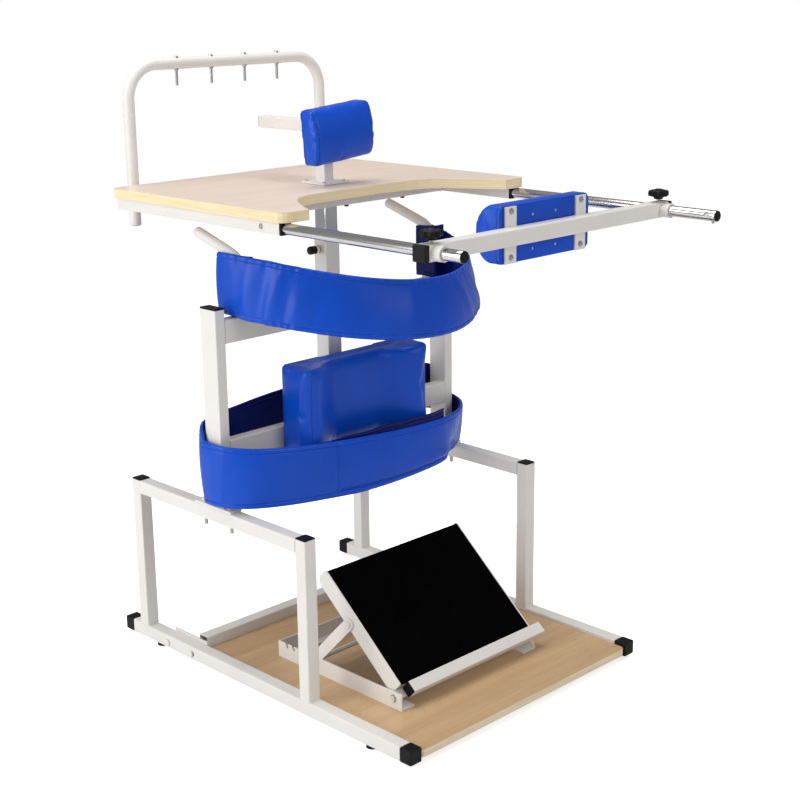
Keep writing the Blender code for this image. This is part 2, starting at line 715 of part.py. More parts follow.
# Posts, column and handles
def post_frame():
    plate_low = SIDE_HEIGHT + GAP
    post_low = plate_low + FOOT_PLATE + GAP
    for side, s in (("left", -1), ("right", 1)):
        x = s * POST_X
        shoe = box(
            "post_shoe_" + side,
            (TUBE, 0.120, FOOT_PLATE),
            (x, sum(FOOT_BOLTS_Y) / 2, plate_low + FOOT_PLATE / 2),
            WHITE,
        )
        for place, y in zip("ab", FOOT_BOLTS_Y):
            low, high = SIDE_HEIGHT - TUBE - 0.018, plate_low + FOOT_PLATE + 0.003
            middle = (x, y, (low + high) / 2)
            shank = round_bar("shoe_bolt_" + side + place, "Z", high - low, BOLT / 2, middle, ZINC, 16, True)
            head = round_bar(
                "shoe_head_" + side + place,
                "Z",
                0.0055,
                0.0072,
                (x, y, plate_low + FOOT_PLATE + 0.0025),
                ZINC,
                6,
                True,
            )
            nut = round_bar(
                "shoe_nut_" + side + place,
                "Z",
                0.0062,
                0.0072,
                (x, y, SIDE_HEIGHT - TUBE - GAP - 0.0031),
                ZINC,
                6,
                True,
            )
            join(shoe, shank, head, nut)
        square_tube(
            "post_" + side,
            "Z",
            POST_TOP - post_low,
            (POST_WIDE, POST_DEEP),
            TUBE_WALL,
            (x, POST_Y, (POST_TOP + post_low) / 2),
            WHITE,
        )
    bar_half = POST_X - POST_WIDE / 2 - GAP
    bar_y = POST_Y - POST_DEEP / 2 + POST_WIDE / 2
    for name, top in (("lower_crossbar", LOWER_BAR_TOP), ("upper_crossbar", UPPER_BAR_TOP)):
        square_tube(
            name,
            "X",
            2 * bar_half,
            (POST_WIDE, POST_DEEP),
            TUBE_WALL,
            (0.0, bar_y, top - POST_DEEP / 2),
            WHITE,
        )
    column_low = LOWER_BAR_TOP - POST_DEEP
    column = square_tube(
        "outer_column",
        "Z",
        COLUMN_TOP - column_low,
        (COLUMN, COLUMN),
        COLUMN_WALL,
        (0.0, COLUMN_Y, (COLUMN_TOP + column_low) / 2),
        WHITE,
        corner=0.003,
    )
    face = -COLUMN / 2
    barrel = round_bar("pin_barrel", "X", 0.015, 0.0070, (face - 0.0065, COLUMN_Y, PIN_Z), ZINC, 24, True)
    ring = round_bar("pin_ring", "X", 0.004, 0.0105, (face - 0.0018, COLUMN_Y, PIN_Z), ZINC, 6, True)
    join(column, barrel, ring)
    cut(column, round_bar("pin_bore", "X", 0.05, 0.0036, (face - 0.012, COLUMN_Y, PIN_Z), ZINC, 20, True))
    tip = -INNER_COLUMN / 2 - GAP
    knob = round_bar("lock_pin", "X", 0.015, 0.0090, (face - 0.0220, COLUMN_Y, PIN_Z), BLACK, 24)
    stem = round_bar("lock_stem", "X", 0.024, 0.0033, (tip - 0.012, COLUMN_Y, PIN_Z), ZINC, 20, True)
    end = round_bar("lock_end", "X", 0.003, 0.0075, (face - 0.0300, COLUMN_Y, PIN_Z), BLACK, 24, True)
    join(knob, stem, end)
    for side, s in (("left", -1), ("right", 1)):
        handle(side, s)


COLUMN_Y = POST_Y - POST_DEEP / 2 + POST_WIDE + GAP + COLUMN / 2


def handle_line():
    """The handle's centre line as (y, z): off the crossbar, up its leg, round the bend and along the grip."""
    foot_y = POST_Y - POST_DEEP / 2 + POST_WIDE / 2
    leg_y = POST_Y - POST_DEEP / 2 - GAP - HANDLE_R
    slope = math.radians(HANDLE_SLOPE)
    end_y, end_z = HANDLE_END
    turn = 180.0 - 90.0 + HANDLE_SLOPE
    centre_y = leg_y + HANDLE_BEND
    arc_end_y = centre_y + HANDLE_BEND * math.cos(math.radians(turn))
    arc_end_z = end_z - (end_y - arc_end_y) * math.tan(slope)
    centre_z = arc_end_z - HANDLE_BEND * math.sin(math.radians(turn))
    foot_z = UPPER_BAR_TOP + GAP
    line = [(foot_y, foot_z), (foot_y, foot_z + HANDLE_R)]
    line.append((leg_y, foot_z + HANDLE_R + 1.5 * (foot_y - leg_y)))
    line += arc((centre_y, centre_z), HANDLE_BEND, 180, turn, 8)
    line.append((end_y, end_z))
    return line


def handle(side, s):
    points = [(s * HANDLE_X, y, z) for y, z in handle_line()]
    bent_tube("handle_" + side, points, HANDLE_R, 0.0015, WHITE)


# Table, arch and chest rest
def table_outline():
    """The board's outline: rounded front corners and a wide bay for the person's body."""
    half = TABLE_WIDTH / 2
    bay = [(-0.282, TABLE_FRONT), (-0.262, -0.100), (-0.237, -0.058), (-0.212, -0.024)]
    bay += [(-0.190, -0.003), (-0.165, 0.009), (-0.130, 0.016), (-0.080, 0.019)]
    points = [(half, TABLE_REAR - 0.010), (half - 0.010, TABLE_REAR)]
    points += [(-half + 0.010, TABLE_REAR), (-half, TABLE_REAR - 0.010)]
    points += arc((-half + 0.024, TABLE_FRONT + 0.024), 0.024, 180, 270, 5)
    points += bay
    points += [(-x, y) for x, y in reversed(bay)]
    points += arc((half - 0.024, TABLE_FRONT + 0.024), 0.024, 270, 360, 5)
    return points


def table():
    board_low = TABLE_TOP - TABLE_THICK
    rail_z = board_low - GAP - TABLE_RAIL / 2
    plate("table_top", table_outline(), TABLE_THICK, TABLE, (0.0, 0.0, TABLE_TOP - TABLE_THICK / 2))
    rail_rear = TABLE_REAR - 0.006
    for side, s in (("left", -1), ("right", 1)):
        square_tube(
            "table_rail_" + side,
            "Y",
            rail_rear - TABLE_RAIL_FRONT,
            (TABLE_RAIL, TABLE_RAIL),
            TABLE_RAIL_WALL,
            (s * SLIDE_X, (rail_rear + TABLE_RAIL_FRONT) / 2, rail_z),
            WHITE,
            corner=0.0018,
        )
        bush = box(
            "guide_bush_" + side,
            (TABLE_RAIL + 0.0006, 0.006, TABLE_RAIL + 0.0002),
            (s * SLIDE_X, TABLE_RAIL_FRONT - GAP - 0.003, rail_z),
            BLACK,
            bevel=0.0008,
        )
        bore = round_bar(
            "bush_bore_" + side,
            "Y",
            0.02,
            SLIDE_R + SLIDE_FIT,
            (s * SLIDE_X, TABLE_RAIL_FRONT - 0.003, rail_z),
            ZINC,
            32,
            True,
        )
        cut(bush, bore)
    cross_half = SLIDE_X - TABLE_RAIL / 2 - GAP
    front_y = COLUMN_Y - INNER_COLUMN / 2 - CROSS_CLEAR - TABLE_RAIL / 2
    rear_y = TABLE_REAR - 0.0185
    for name, y in (("table_cross_front", front_y), ("table_cross_rear", rear_y)):
        square_tube(
            name, "X", 2 * cross_half, (TABLE_RAIL, TABLE_RAIL), TUBE_WALL, (0.0, y, rail_z), WHITE
        )
    low = COLUMN_TOP - INNER_DOWN
    high = board_low - GAP
    square_tube(
        "inner_column",
        "Z",
        high - low,
        (INNER_COLUMN, INNER_COLUMN),
        INNER_WALL,
        (0.0, COLUMN_Y, (high + low) / 2),
        CHROME,
        corner=0.003,
    )

    pegs_z = (ARCH_TOP - PEG_LOW, ARCH_TOP + 0.0158)
    corner = ARCH_X - ARCH_BEND
    height = ARCH_TOP - ARCH_BEND
    line = [(-ARCH_X, rail_z - ARCH_FOOT)]
    line += arc((-corner, height), ARCH_BEND, 180, 90, 8)
    line += arc((corner, height), ARCH_BEND, 90, 0, 8)
    line.append((ARCH_X, rail_z - ARCH_FOOT))
    arch = bent_tube("arch", [(x, ARCH_Y, z) for x, z in line], ARCH_R, 0.0015, WHITE)
    stub_from = rear_y + TABLE_RAIL / 2 + GAP
    for side, s in (("left", -1), ("right", 1)):
        stub = round_bar(
            "arch_stub_" + side,
            "Y",
            ARCH_Y + ARCH_BOLT - stub_from,
            0.0075,
            (s * ARCH_X, (stub_from + ARCH_Y + ARCH_BOLT) / 2, rail_z),
            WHITE,
            16,
            True,
        )
        join(arch, stub)
    for k, x in enumerate(PEG_X):
        peg = round_bar(
            "peg_" + str(k),
            "Z",
            pegs_z[1] - pegs_z[0],
            0.003,
            (x, ARCH_Y, sum(pegs_z) / 2),
            ZINC,
            12,
            True,
        )
        peg_head = round_bar(
            "peg_head_" + str(k), "Z", 0.004, 0.0052, (x, ARCH_Y, pegs_z[1] - 0.0016), ZINC, 6, True
        )
        join(arch, peg, peg_head)

    post_low = TABLE_TOP + GAP
    sleeve_half = CHEST_ARM / 2 + GAP + 0.0028
    post = box(
        "chest_post",
        (CHEST_FOOT, CHEST_FOOT, 0.005),
        (0.0, COLUMN_Y, post_low + 0.0025),
        WHITE,
        bevel=0.0015,
    )
    stem_high = CHEST_ARM_Z - sleeve_half + 0.002
    stem = box(
        "chest_stem",
        (CHEST_POST, CHEST_POST, stem_high - post_low - 0.002),
        (0.0, COLUMN_Y, (stem_high + post_low + 0.002) / 2),
        WHITE,
        helper=True,
    )
    sleeve = box(
        "chest_sleeve",
        (2 * sleeve_half, 0.040, 2 * sleeve_half),
        (0.0, COLUMN_Y + 0.005, CHEST_ARM_Z),
        WHITE,
        helper=True,
    )
    join(post, stem, sleeve)
    passage = box(
        "chest_passage",
        (CHEST_ARM + 2 * GAP, 0.080, CHEST_ARM + 2 * GAP),
        (0.0, COLUMN_Y, CHEST_ARM_Z),
        WHITE,
        helper=True,
    )
    cut(post, passage)
    arm_front = CHEST_PAD_BACK + GAP
    arm = square_tube(
        "chest_arm",
        "Y",
        CHEST_ARM_REAR - arm_front,
        (CHEST_ARM, CHEST_ARM),
        TUBE_WALL,
        (0.0, (CHEST_ARM_REAR + arm_front) / 2, CHEST_ARM_Z),
        WHITE,
        corner=0.0015,
    )
    flange = box(
        "chest_flange",
        (0.060, 0.003, 0.060),
        (0.0, arm_front + 0.0015, CHEST_ARM_Z),
        WHITE,
        helper=True,
    )
    join(arm, flange)


# Soft pieces
def cushion(name, width, height, depth, crown, location, facing, mat, cells=(10, 8, 3), side_pull=0.004):
    """A bolster on a flat back: its front swells to a crown between flat ends and its sides draw in.

    The back lies in the plane of the location, and the crown points along y the way facing says.
    """
    bm = bmesh.new()
    bmesh.ops.create_cube(bm, size=2.0)
    for axis, count in enumerate((cells[0], cells[2], cells[1])):
        along = [e for e in bm.edges if abs(e.verts[0].co[axis] - e.verts[1].co[axis]) > 1.9]
        bmesh.ops.subdivide_edges(bm, edges=along, cuts=count - 1, use_grid_fill=True)
    for vert in bm.verts:
        u, v, w = vert.co.x, (vert.co.y + 1) / 2, vert.co.z
        swell = (1 - abs(u) ** 12) * (1 - abs(w) ** 2.4)
        edge = max(abs(u), abs(w))
        round_off = 0.14 * max(0.0, edge - 0.80) / 0.20
        pull = side_pull * math.sin(math.pi * v) * (abs(u) ** 6 + abs(w) ** 6) / 2
        near_corner = max(0.0, abs(u) + abs(w) - 1.72) * 0.055
        x = u * (width / 2) * (1 - near_corner)
        z = w * (height / 2) * (1 - near_corner)
        x -= math.copysign(pull, u) if abs(u) > 0.5 else 0.0
        z -= math.copysign(pull, w) if abs(w) > 0.5 else 0.0
        front = (depth - crown) * (1 - round_off * v) + crown * swell
        vert.co = (x, facing * v * front, z)
    mesh = mesh_of(bm, name)
    mesh.shade_smooth()
    return add(name, mesh, mat, location)


def knee_block():
    """A U-shaped block: a wing at each side and a hollow for the knees between them."""
    width, height = KNEE_BLOCK
    back = POST_Y - POST_DEEP / 2 - GAP
    bm = bmesh.new()
    bmesh.ops.create_cube(bm, size=2.0)
    for axis, count in enumerate((20, 4, 8)):
        along = [e for e in bm.edges if abs(e.verts[0].co[axis] - e.verts[1].co[axis]) > 1.9]
        bmesh.ops.subdivide_edges(bm, edges=along, cuts=count - 1, use_grid_fill=True)
    for vert in bm.verts:
        u, v, w = vert.co.x, (1 - vert.co.y) / 2, vert.co.z
        wing = min(1.0, max(0.0, (abs(u) - 0.34) / 0.60))
        wing = wing * wing * (3 - 2 * wing)
        outside = max(0.0, (abs(u) - 0.86) / 0.14)
        ends = max(0.0, (abs(w) - 0.86) / 0.14)
        deep = (back - KNEE_RECESS_Y) + (KNEE_RECESS_Y - KNEE_WING_Y) * wing
        deep -= 0.010 * outside**2 + 0.008 * ends**2
        bow = 0.0025 * math.sin(math.pi * v)
        x = u * width / 2 + math.copysign(bow, u) * (abs(u) > 0.9)
        z = w * height / 2 + math.copysign(bow, w) * (abs(w) > 0.9)
        vert.co = (x, -v * deep, z)
    mesh = mesh_of(bm, "knee_block")
    mesh.shade_smooth()
    add("knee_block", mesh, VINYL, (0.0, back, KNEE_BLOCK_TOP - height / 2 - 0.0025))


def band(name, upper, lower, thickness, bulge, closed):
    """A belt: a surface between its upper and lower edge lines, given its thickness to both sides."""
    upper, lower = np.asarray(upper), np.asarray(lower)
    rows = 6
    count = len(upper)
    bm = bmesh.new()
    bmesh.ops.create_grid(bm, x_segments=count - 1, y_segments=rows, size=1.0)
    bm.verts.ensure_lookup_table()
    for vert in bm.verts:
        i = round((vert.co.x + 1) / 2 * (count - 1))
        q = (vert.co.y + 1) / 2
        middle = upper.mean(axis=0)
        point = lower[i] + (upper[i] - lower[i]) * q
        out = point - middle
        out[2] = 0.0
        out /= np.linalg.norm(out)
        vert.co = point + out * bulge * math.sin(math.pi * q)
    if closed:
        bmesh.ops.remove_doubles(bm, verts=bm.verts, dist=1e-5)
    mesh = mesh_of(bm, name)
    mesh.shade_smooth()
    obj = add(name, mesh, VINYL)
    shell = obj.modifiers.new("padding", "SOLIDIFY")
    shell.thickness = thickness
    shell.offset = 0.0
    shell.use_even_offset = True
    return obj


def hip_belt():
    """Hangs in a bow behind the hips, its ends sewn into upright sleeves for the handles."""
    t = np.linspace(0.0, 1.0, 41)
    plan = bezier([(-0.296, 0.128), (-0.296, -0.165), (0.0, -0.247), (0.298, -0.180), (0.296, 0.120)], t)
    level = bezier([(0.923,), (0.928,), (0.800,), (0.861,), (0.916,)], t)[:, 0]
    height = bezier([(0.134,), (0.124,), (0.114,), (0.122,), (0.129,)], t)[:, 0]
    out = plan - plan.mean(axis=0)
    out /= np.linalg.norm(out, axis=1)[:, None]
    flare = 0.024 * np.sin(np.pi * t) ** 0.8 + 0.020 * np.exp(-(((t - 0.80) / 0.07) ** 2))
    upper = np.column_stack([plan, level])
    over_bar = np.clip((plan[:, 1] - 0.045) / 0.025, 0.0, 1.0)
    low = UPPER_BAR_TOP + 0.004
    bottom = np.maximum(level - height, low * over_bar + (level - height) * (1 - over_bar))
    lower = np.column_stack([plan + out * flare[:, None], bottom])
    belt = band("hip_belt", upper, lower, BELT_THICK, 0.004, False)
    upright_y = min(y for y, z in handle_line())
    inner = HANDLE_X - HANDLE_R - SLEEVE_CLEAR
    for side, s in (("left", -1), ("right", 1)):
        end_y = (plan[0] if s < 0 else plan[-1])[1]
        first, last = upright_y - HANDLE_R - SLEEVE_CLEAR, end_y - 0.0005
        deep, high = last - first + SLEEVE_SHEET, SLEEVE_TOP - low - 0.001
        middle = (low + 0.001 + SLEEVE_TOP) / 2
        leaf = box(
            "sleeve_leaf_" + side,
            (SLEEVE_SHEET, deep, high),
            (s * (inner - SLEEVE_SHEET / 2), (first + last - SLEEVE_SHEET) / 2, middle),
            VINYL,
            helper=True,
        )
        reach = 0.291 - inner + SLEEVE_SHEET
        front = box(
            "sleeve_front_" + side,
            (reach, SLEEVE_SHEET, high),
            (s * (0.291 - reach / 2), first - SLEEVE_SHEET / 2, middle),
            VINYL,
            helper=True,
        )
        rear_high = high - 0.018
        rear_y = last - SLEEVE_SHEET / 2 - 0.0004
        rear = box(
            "sleeve_rear_" + side,
            (reach + 0.001, SLEEVE_SHEET, rear_high),
            (s * (0.292 - (reach + 0.001) / 2), rear_y, low + 0.001 + rear_high / 2),
            VINYL,
            helper=True,
        )
        join(belt, leaf, front, rear)
    return belt


def knee_belt():
    """A closed loop: behind both posts, round their outer faces and in a low bow in front of the knees."""
    t = np.linspace(0.0, 1.0, 35)
    front = bezier([(-0.358, 0.113), (-0.3742, -0.082), (-0.010, -0.005), (0.352, -0.095), (0.358, 0.109)], t)
    level = bezier([(0.536,), (0.530,), (0.507,), (0.470,), (0.502,)], t)[:, 0]
    height = bezier([(0.138,), (0.122,), (0.118,), (0.116,), (0.115,)], t)[:, 0]
    out = front - np.array([0.0, 0.080])
    out /= np.linalg.norm(out, axis=1)[:, None]
    flare = 0.012 * np.sin(np.pi * t) ** 1.5 - 0.042 * np.exp(-(((t - 0.82) / 0.075) ** 2))
    upper = np.column_stack([front, level])
    bottom = level - height
    by_shoe = np.clip((front[:, 1] - 0.025) / 0.020, 0.0, 1.0)
    bottom = np.maximum(bottom, SIDE_HEIGHT + 0.002 + 0.0092 * by_shoe)
    lower = np.column_stack([front + out * flare[:, None], bottom])
    corner = [(0.3575, 0.1240), (0.3545, 0.1350), (0.3470, 0.1407), (0.3320, 0.1425)]
    xs = np.linspace(0.30, -0.30, 13)
    bow = COLUMN_Y + COLUMN / 2 + BELT_THICK - 0.0002 - 0.1428
    middle = [(x, 0.1428 + bow * (1 - min(1.0, abs(x) / 0.26) ** 2)) for x in xs]
    back = corner + middle + [(-x, y) for x, y in reversed(corner)]
    back = np.array(back)
    rise = np.sin(np.linspace(0.0, np.pi, len(back))) ** 0.45
    side = np.linspace(level[-1], level[0], len(back))
    back_upper = np.column_stack([back, side + (0.596 - side) * rise])
    floor = np.linspace(bottom[-1], bottom[0], len(back))
    back_lower = np.column_stack([back, floor + (0.484 - floor) * rise])
    upper = np.concatenate([upper, back_upper, upper[:1]])
    lower = np.concatenate([lower, back_lower, lower[:1]])
    wider = (POST_X + POST_WIDE / 2 + BELT_THICK) / KNEE_BELT_HALF
    upper[:, 0] *= wider
    lower[:, 0] *= wider
    return band("knee_belt", upper, lower, BELT_THICK * 0.9, 0.003, True)


def soft_pieces():
    width, height, depth = CHEST_PAD
    pad = cushion(
        "chest_pad",
        width,
        height,
        depth,
        CHEST_PAD_CROWN,
        (CHEST_PAD_X, CHEST_PAD_BACK, CHEST_PAD_Z),
        -1,
        VINYL,
    )
    pad.rotation_euler = (0.0, -math.radians(CHEST_PAD_ROLL), 0.0)
    knee_block()
    hip_belt()
    knee_belt()


# Sliding tubes and back rest
def back_rest():
    rail_z = TABLE_TOP - TABLE_THICK - GAP - TABLE_RAIL / 2
    for side, s, end in (("left", -1, LEFT_TUBE_END), ("right", 1, RIGHT_TUBE_END)):
        pipe(
            "slide_tube_" + side,
            "Y",
            SLIDE_LONG,
            SLIDE_R,
            SLIDE_WALL,
            (s * SLIDE_X, end + SLIDE_LONG / 2, rail_z),
            CHROME,
        )
    mid_y = BAR_FRONT + BAR / 2
    bar = square_tube(
        "back_bar", "X", BAR_LONG, (BAR, BAR), 0.002, (0.0, mid_y, rail_z), WHITE, corner=0.0025
    )
    for side, s in (("left", -1), ("right", 1)):
        where = (s * SLIDE_X, mid_y, rail_z)
        collar = round_bar(
            "collar_" + side,
            "Y",
            0.0205,
            SLIDE_R + 0.0035,
            (s * SLIDE_X, BAR_FRONT - 0.0095, rail_z),
            WHITE,
            32,
            True,
        )
        bore = round_bar("collar_bore_" + side, "Y", 0.090, SLIDE_R + SLIDE_FIT, where, WHITE, 32, True)
        screw = round_bar(
            "screw_hole_" + side,
            "Z",
            0.012,
            0.0044,
            (s * SLIDE_X, mid_y - 0.002, rail_z + BAR / 2),
            WHITE,
            20,
            True,
        )
        strap = box(
            "strap_" + side,
            (STRAP_WIDE, 0.0035, STRAP_SPAN[1] - STRAP_SPAN[0]),
            (s * STRAP_X, BAR_FRONT + BAR + 0.00125, sum(STRAP_SPAN) / 2),
            WHITE,
            helper=True,
        )
        join(bar, strap, collar)
        cut(bar, bore, screw)
        end_cap(
            "bar_cap_" + side,
            "X",
            s,
            (s * (BAR_LONG / 2 + GAP + BAR_CAP / 2), mid_y, rail_z),
            BAR_CAP,
            BAR,
            0.002,
            reach=0.003,
        )
        clamp_knob(side, s * SLIDE_X, mid_y - 0.002, rail_z + BAR / 2)
    width, height, depth = BACK_PAD
    pad_back = BAR_FRONT + BAR + 0.003 + GAP
    where = (0.0, pad_back, 0.9995)
    cushion("back_pad", width, height, depth, BACK_PAD_CROWN, where, 1, VINYL, cells=(12, 6, 4))


def clamp_knob(side, x, y, top):
    """A knob with a waist and a screw that bears on the sliding tube."""
    knob = round_bar("clamp_knob_" + side, "Z", 0.014, KNOB_R, (x, y, top + 0.0185), BLACK, 28, top=0.019)
    where = (x, y, top + 0.0069)
    neck = round_bar("knob_neck_" + side, "Z", 0.013, 0.0085, where, BLACK, 24, True, top=0.013)
    where = (x, y, top + 0.0268)
    dome = round_bar("knob_dome_" + side, "Z", 0.004, 0.017, where, BLACK, 28, True, top=0.010)
    tip = top - BAR / 2 + SLIDE_R + GAP
    screw = round_bar(
        "knob_screw_" + side, "Z", top + 0.006 - tip, 0.0038, (x, y, (top + 0.006 + tip) / 2), ZINC, 20, True
    )
    join(knob, neck, dome, screw)
    return knob


def build():
    base()
    footboard()
    post_frame()
    table()
    back_rest()
    soft_pieces()
    for group in (PARTS, HELPERS):
        for obj in group.objects:
            obj.location.y += FRAME_Y
    bpy.context.view_layer.update()


build()
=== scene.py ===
"""Looks of a standing frame: finishes, cushions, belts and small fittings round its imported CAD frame.

Every length is in metres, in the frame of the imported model: x to the right, y towards the rear of the
table and z up from the floor.
"""

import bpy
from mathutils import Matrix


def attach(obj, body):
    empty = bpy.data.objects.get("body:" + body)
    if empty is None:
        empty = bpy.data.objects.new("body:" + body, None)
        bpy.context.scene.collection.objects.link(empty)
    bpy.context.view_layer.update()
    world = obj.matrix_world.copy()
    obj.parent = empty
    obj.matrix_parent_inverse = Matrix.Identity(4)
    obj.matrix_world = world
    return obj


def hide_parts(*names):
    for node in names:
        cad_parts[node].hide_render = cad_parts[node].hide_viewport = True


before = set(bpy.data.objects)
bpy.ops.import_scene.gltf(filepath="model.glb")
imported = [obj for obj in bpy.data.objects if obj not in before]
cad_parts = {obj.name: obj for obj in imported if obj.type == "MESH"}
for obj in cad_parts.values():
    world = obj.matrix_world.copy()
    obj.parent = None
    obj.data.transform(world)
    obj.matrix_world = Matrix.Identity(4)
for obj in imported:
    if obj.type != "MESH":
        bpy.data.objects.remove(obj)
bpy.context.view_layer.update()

import logging
import math
from dataclasses import dataclass
from enum import Enum
from functools import cache
from typing import Any, Callable, Iterable, Mapping, Sequence

import bmesh
import bpy
import numpy as np
from mathutils import Matrix

LOG = logging.getLogger("standing_frame")
X_AXIS, Y_AXIS, Z_AXIS = np.eye(3)
SIDES = (-1.0, 1.0)
SLIDE_X, SLIDE_Z = 0.328, 0.9998
Colour = tuple[float, float, float]
Place = Sequence[float]
Object = bpy.types.Object
Array = np.ndarray


class Body(Enum):
    """The moving bodies of the CAD frame that pieces ride on."""

    BASE = "base"
    TABLE = "table"
    CHEST_REST = "chest_rest"
    LEFT_TUBE = "left_tube"
    RIGHT_TUBE = "right_tube"
    BACK_REST = "back_rest"
    LEFT_KNOB = "left_knob"
    RIGHT_KNOB = "right_knob"
    BOARD_FRAME = "board_frame"


# Shader building


class Graph:
    """The node tree of a material or a world, and the one method that adds a node to it."""

    def __init__(self, owner: Any) -> None:
        """Starts the owner's tree empty."""
        owner.use_nodes = True
        self.tree = owner.node_tree
        self.tree.nodes.clear()

    def node(self, kind: str, inputs: Mapping[Any, Any] | None = None, **settings: Any) -> bpy.types.Node:
        """Adds a node, sets its properties and fills its sockets with values, sockets or Channels."""
        made = self.tree.nodes.new("ShaderNode" + kind)
        for key, value in settings.items():
            setattr(made, key, value)
        for key, value in (inputs or {}).items():
            source = value.socket if isinstance(value, Channel) else value
            if isinstance(source, bpy.types.NodeSocket):
                self.tree.links.new(source, made.inputs[key])
            else:
                made.inputs[key].default_value = source
        return made

    def channel(self, kind: str, inputs: Mapping[Any, Any], **settings: Any) -> "Channel":
        """Adds a node and wraps its first output."""
        return Channel(self, self.node(kind, inputs, **settings).outputs[0])

    def place(self, stretch: Place = (1.0, 1.0, 1.0)) -> bpy.types.NodeSocket:
        """The surface's own place in metres, stretched along each axis."""
        source = self.node("TexCoord").outputs["Object"]
        return self.node("Mapping", {"Vector": source, "Scale": stretch}).outputs["Vector"]

    def axes(self, vector: bpy.types.NodeSocket) -> list["Channel"]:
        """The x, y and z of a vector."""
        return [Channel(self, output) for output in self.node("SeparateXYZ", {0: vector}).outputs]

    def noise(
        self, scale: float, detail: float = 2.0, rough: float = 0.5, stretch: Place = (1.0, 1.0, 1.0)
    ) -> "Channel":
        """Cloudy noise between 0 and 1 over the stretched place."""
        inputs = {"Vector": self.place(stretch), "Scale": scale, "Detail": detail, "Roughness": rough}
        return self.channel("TexNoise", inputs)

    def cells(self, scale: float) -> "Channel":
        """Distance to the nearest point of a scattered set."""
        return self.channel("TexVoronoi", {"Vector": self.place(), "Scale": scale})

    def mix(self, factor: "Channel", first: Any, second: Any) -> bpy.types.NodeSocket:
        """Blends two colours, each a socket or three numbers."""
        a, b = ((*tone, 1.0) if isinstance(tone, tuple) else tone for tone in (first, second))
        return self.node("Mix", {0: factor, 6: a, 7: b}, data_type="RGBA").outputs[2]

    def bump(self, height: "Channel", depth: float, strength: float = 1.0, over: Any = None) -> Any:
        """A normal bent by a height from 0 to 1 that stands for depth metres, over another bend if given."""
        inputs = {"Height": height, "Distance": depth, "Strength": strength}
        if over is not None:
            inputs["Normal"] = over
        return self.node("Bump", inputs).outputs["Normal"]


def _operator(operation: str, swapped: bool = False) -> Callable[..., "Channel"]:
    """A method of Channel that adds one Math node on self and the other value, if there is one."""

    def method(channel: "Channel", *other: Any) -> "Channel":
        values = (*other, channel) if swapped else (channel, *other)
        return channel.graph.channel("Math", dict(enumerate(values)), operation=operation)

    return method


class Channel:
    """A shader number on which Python's operators add Math nodes."""

    __add__ = _operator("ADD")
    __sub__ = _operator("SUBTRACT")
    __rsub__ = _operator("SUBTRACT", True)
    __mul__ = _operator("MULTIPLY")
    __abs__ = _operator("ABSOLUTE")
    sine = _operator("SINE")
    at_least = _operator("MAXIMUM")

    def __init__(self, graph: Graph, socket: bpy.types.NodeSocket) -> None:
        """Wraps one output socket of that graph."""
        self.graph = graph
        self.socket = socket

    def fade(self, low: float, high: float) -> "Channel":
        """0 below low, 1 above high and smooth between."""
        inputs = {0: self, 1: low, 2: high, 3: 0.0, 4: 1.0}
        return self.graph.channel("MapRange", inputs, interpolation_type="SMOOTHSTEP")


# Finishes


@dataclass(frozen=True)
class Finish:
    """A finish: its material's name, its slot, its tone and the shade that the tone drifts to."""

    name: str
    slot: str
    colour: Colour
    shade: Colour

    def material(self) -> bpy.types.Material:
        """Builds the look in one Principled shader."""
        made = bpy.data.materials.new(self.name)
        g = Graph(made)
        shader = g.node("BsdfPrincipled", self.look(g))
        g.node("OutputMaterial", {"Surface": shader.outputs["BSDF"]})
        return made


@dataclass(frozen=True)
class PowderCoat(Finish):
    """Baked powder on steel: faint orange peel at two scales, broad drifts of tone and sheen, and scuffs."""

    scuffed: Colour = (0.52, 0.49, 0.45)
    roughness: float = 0.35
    peel: float = 0.00006

    def look(self, g: Graph) -> dict[str, Any]:
        """The shader's inputs."""
        broad = g.noise(9.0, 3.0)
        scuffs = g.noise(5.0, 4.0, 0.65, (6.0, 6.0, 60.0)).fade(0.62, 0.78)
        base = g.mix(broad.fade(0.42, 0.72) * 0.45, self.colour, self.shade)
        return {
            "Base Color": g.mix(scuffs * 0.10, base, self.scuffed),
            "Roughness": broad * 0.10 + scuffs * 0.08 + self.roughness,
            "Normal": g.bump(g.noise(260.0) * 0.7 + g.noise(420.0, 1.0) * 0.3, self.peel),
            "Coat Weight": 0.10,
            "Coat Roughness": 0.28,
        }


@dataclass(frozen=True)
class Moulded(Finish):
    """Plastic or rubber from a mould: clouds where it is rubbed or dusty, over a fine texture.

    clouds holds their noise's scale, detail and roughness, band where they start and are full and their
    share, sheen their gain of roughness and its base, and relief the texture's kind, scale and depth.
    """

    clouds: tuple[float, float, float]
    band: tuple[float, float, float]
    sheen: tuple[float, float]
    relief: tuple[str, float, float]
    specular: float

    def look(self, g: Graph) -> dict[str, Any]:
        """The shader's inputs."""
        cloud = g.noise(*self.clouds)
        low, high, share = self.band
        kind, scale, depth = self.relief
        return {
            "Base Color": g.mix(cloud.fade(low, high) * share, self.colour, self.shade),
            "Roughness": cloud * self.sheen[0] + self.sheen[1],
            "Normal": g.bump(g.cells(scale) if kind == "cells" else g.noise(scale), depth),
            "Specular IOR Level": self.specular,
        }


@dataclass(frozen=True)
class BoardMat(Finish):
    """The footboard's mat: deep matt, with a pebbled grip."""

    pebble: float = 340.0

    def look(self, g: Graph) -> dict[str, Any]:
        """The shader's inputs."""
        wear = g.noise(11.0, 3.0).fade(0.48, 0.72)
        return {
            "Base Color": g.mix(wear * 0.8, self.colour, self.shade),
            "Roughness": wear * 0.06 + 0.88,
            "Normal": g.bump(1.0 - g.cells(self.pebble).fade(0.15, 0.60), 0.00025),
            "Specular IOR Level": 0.03,
        }


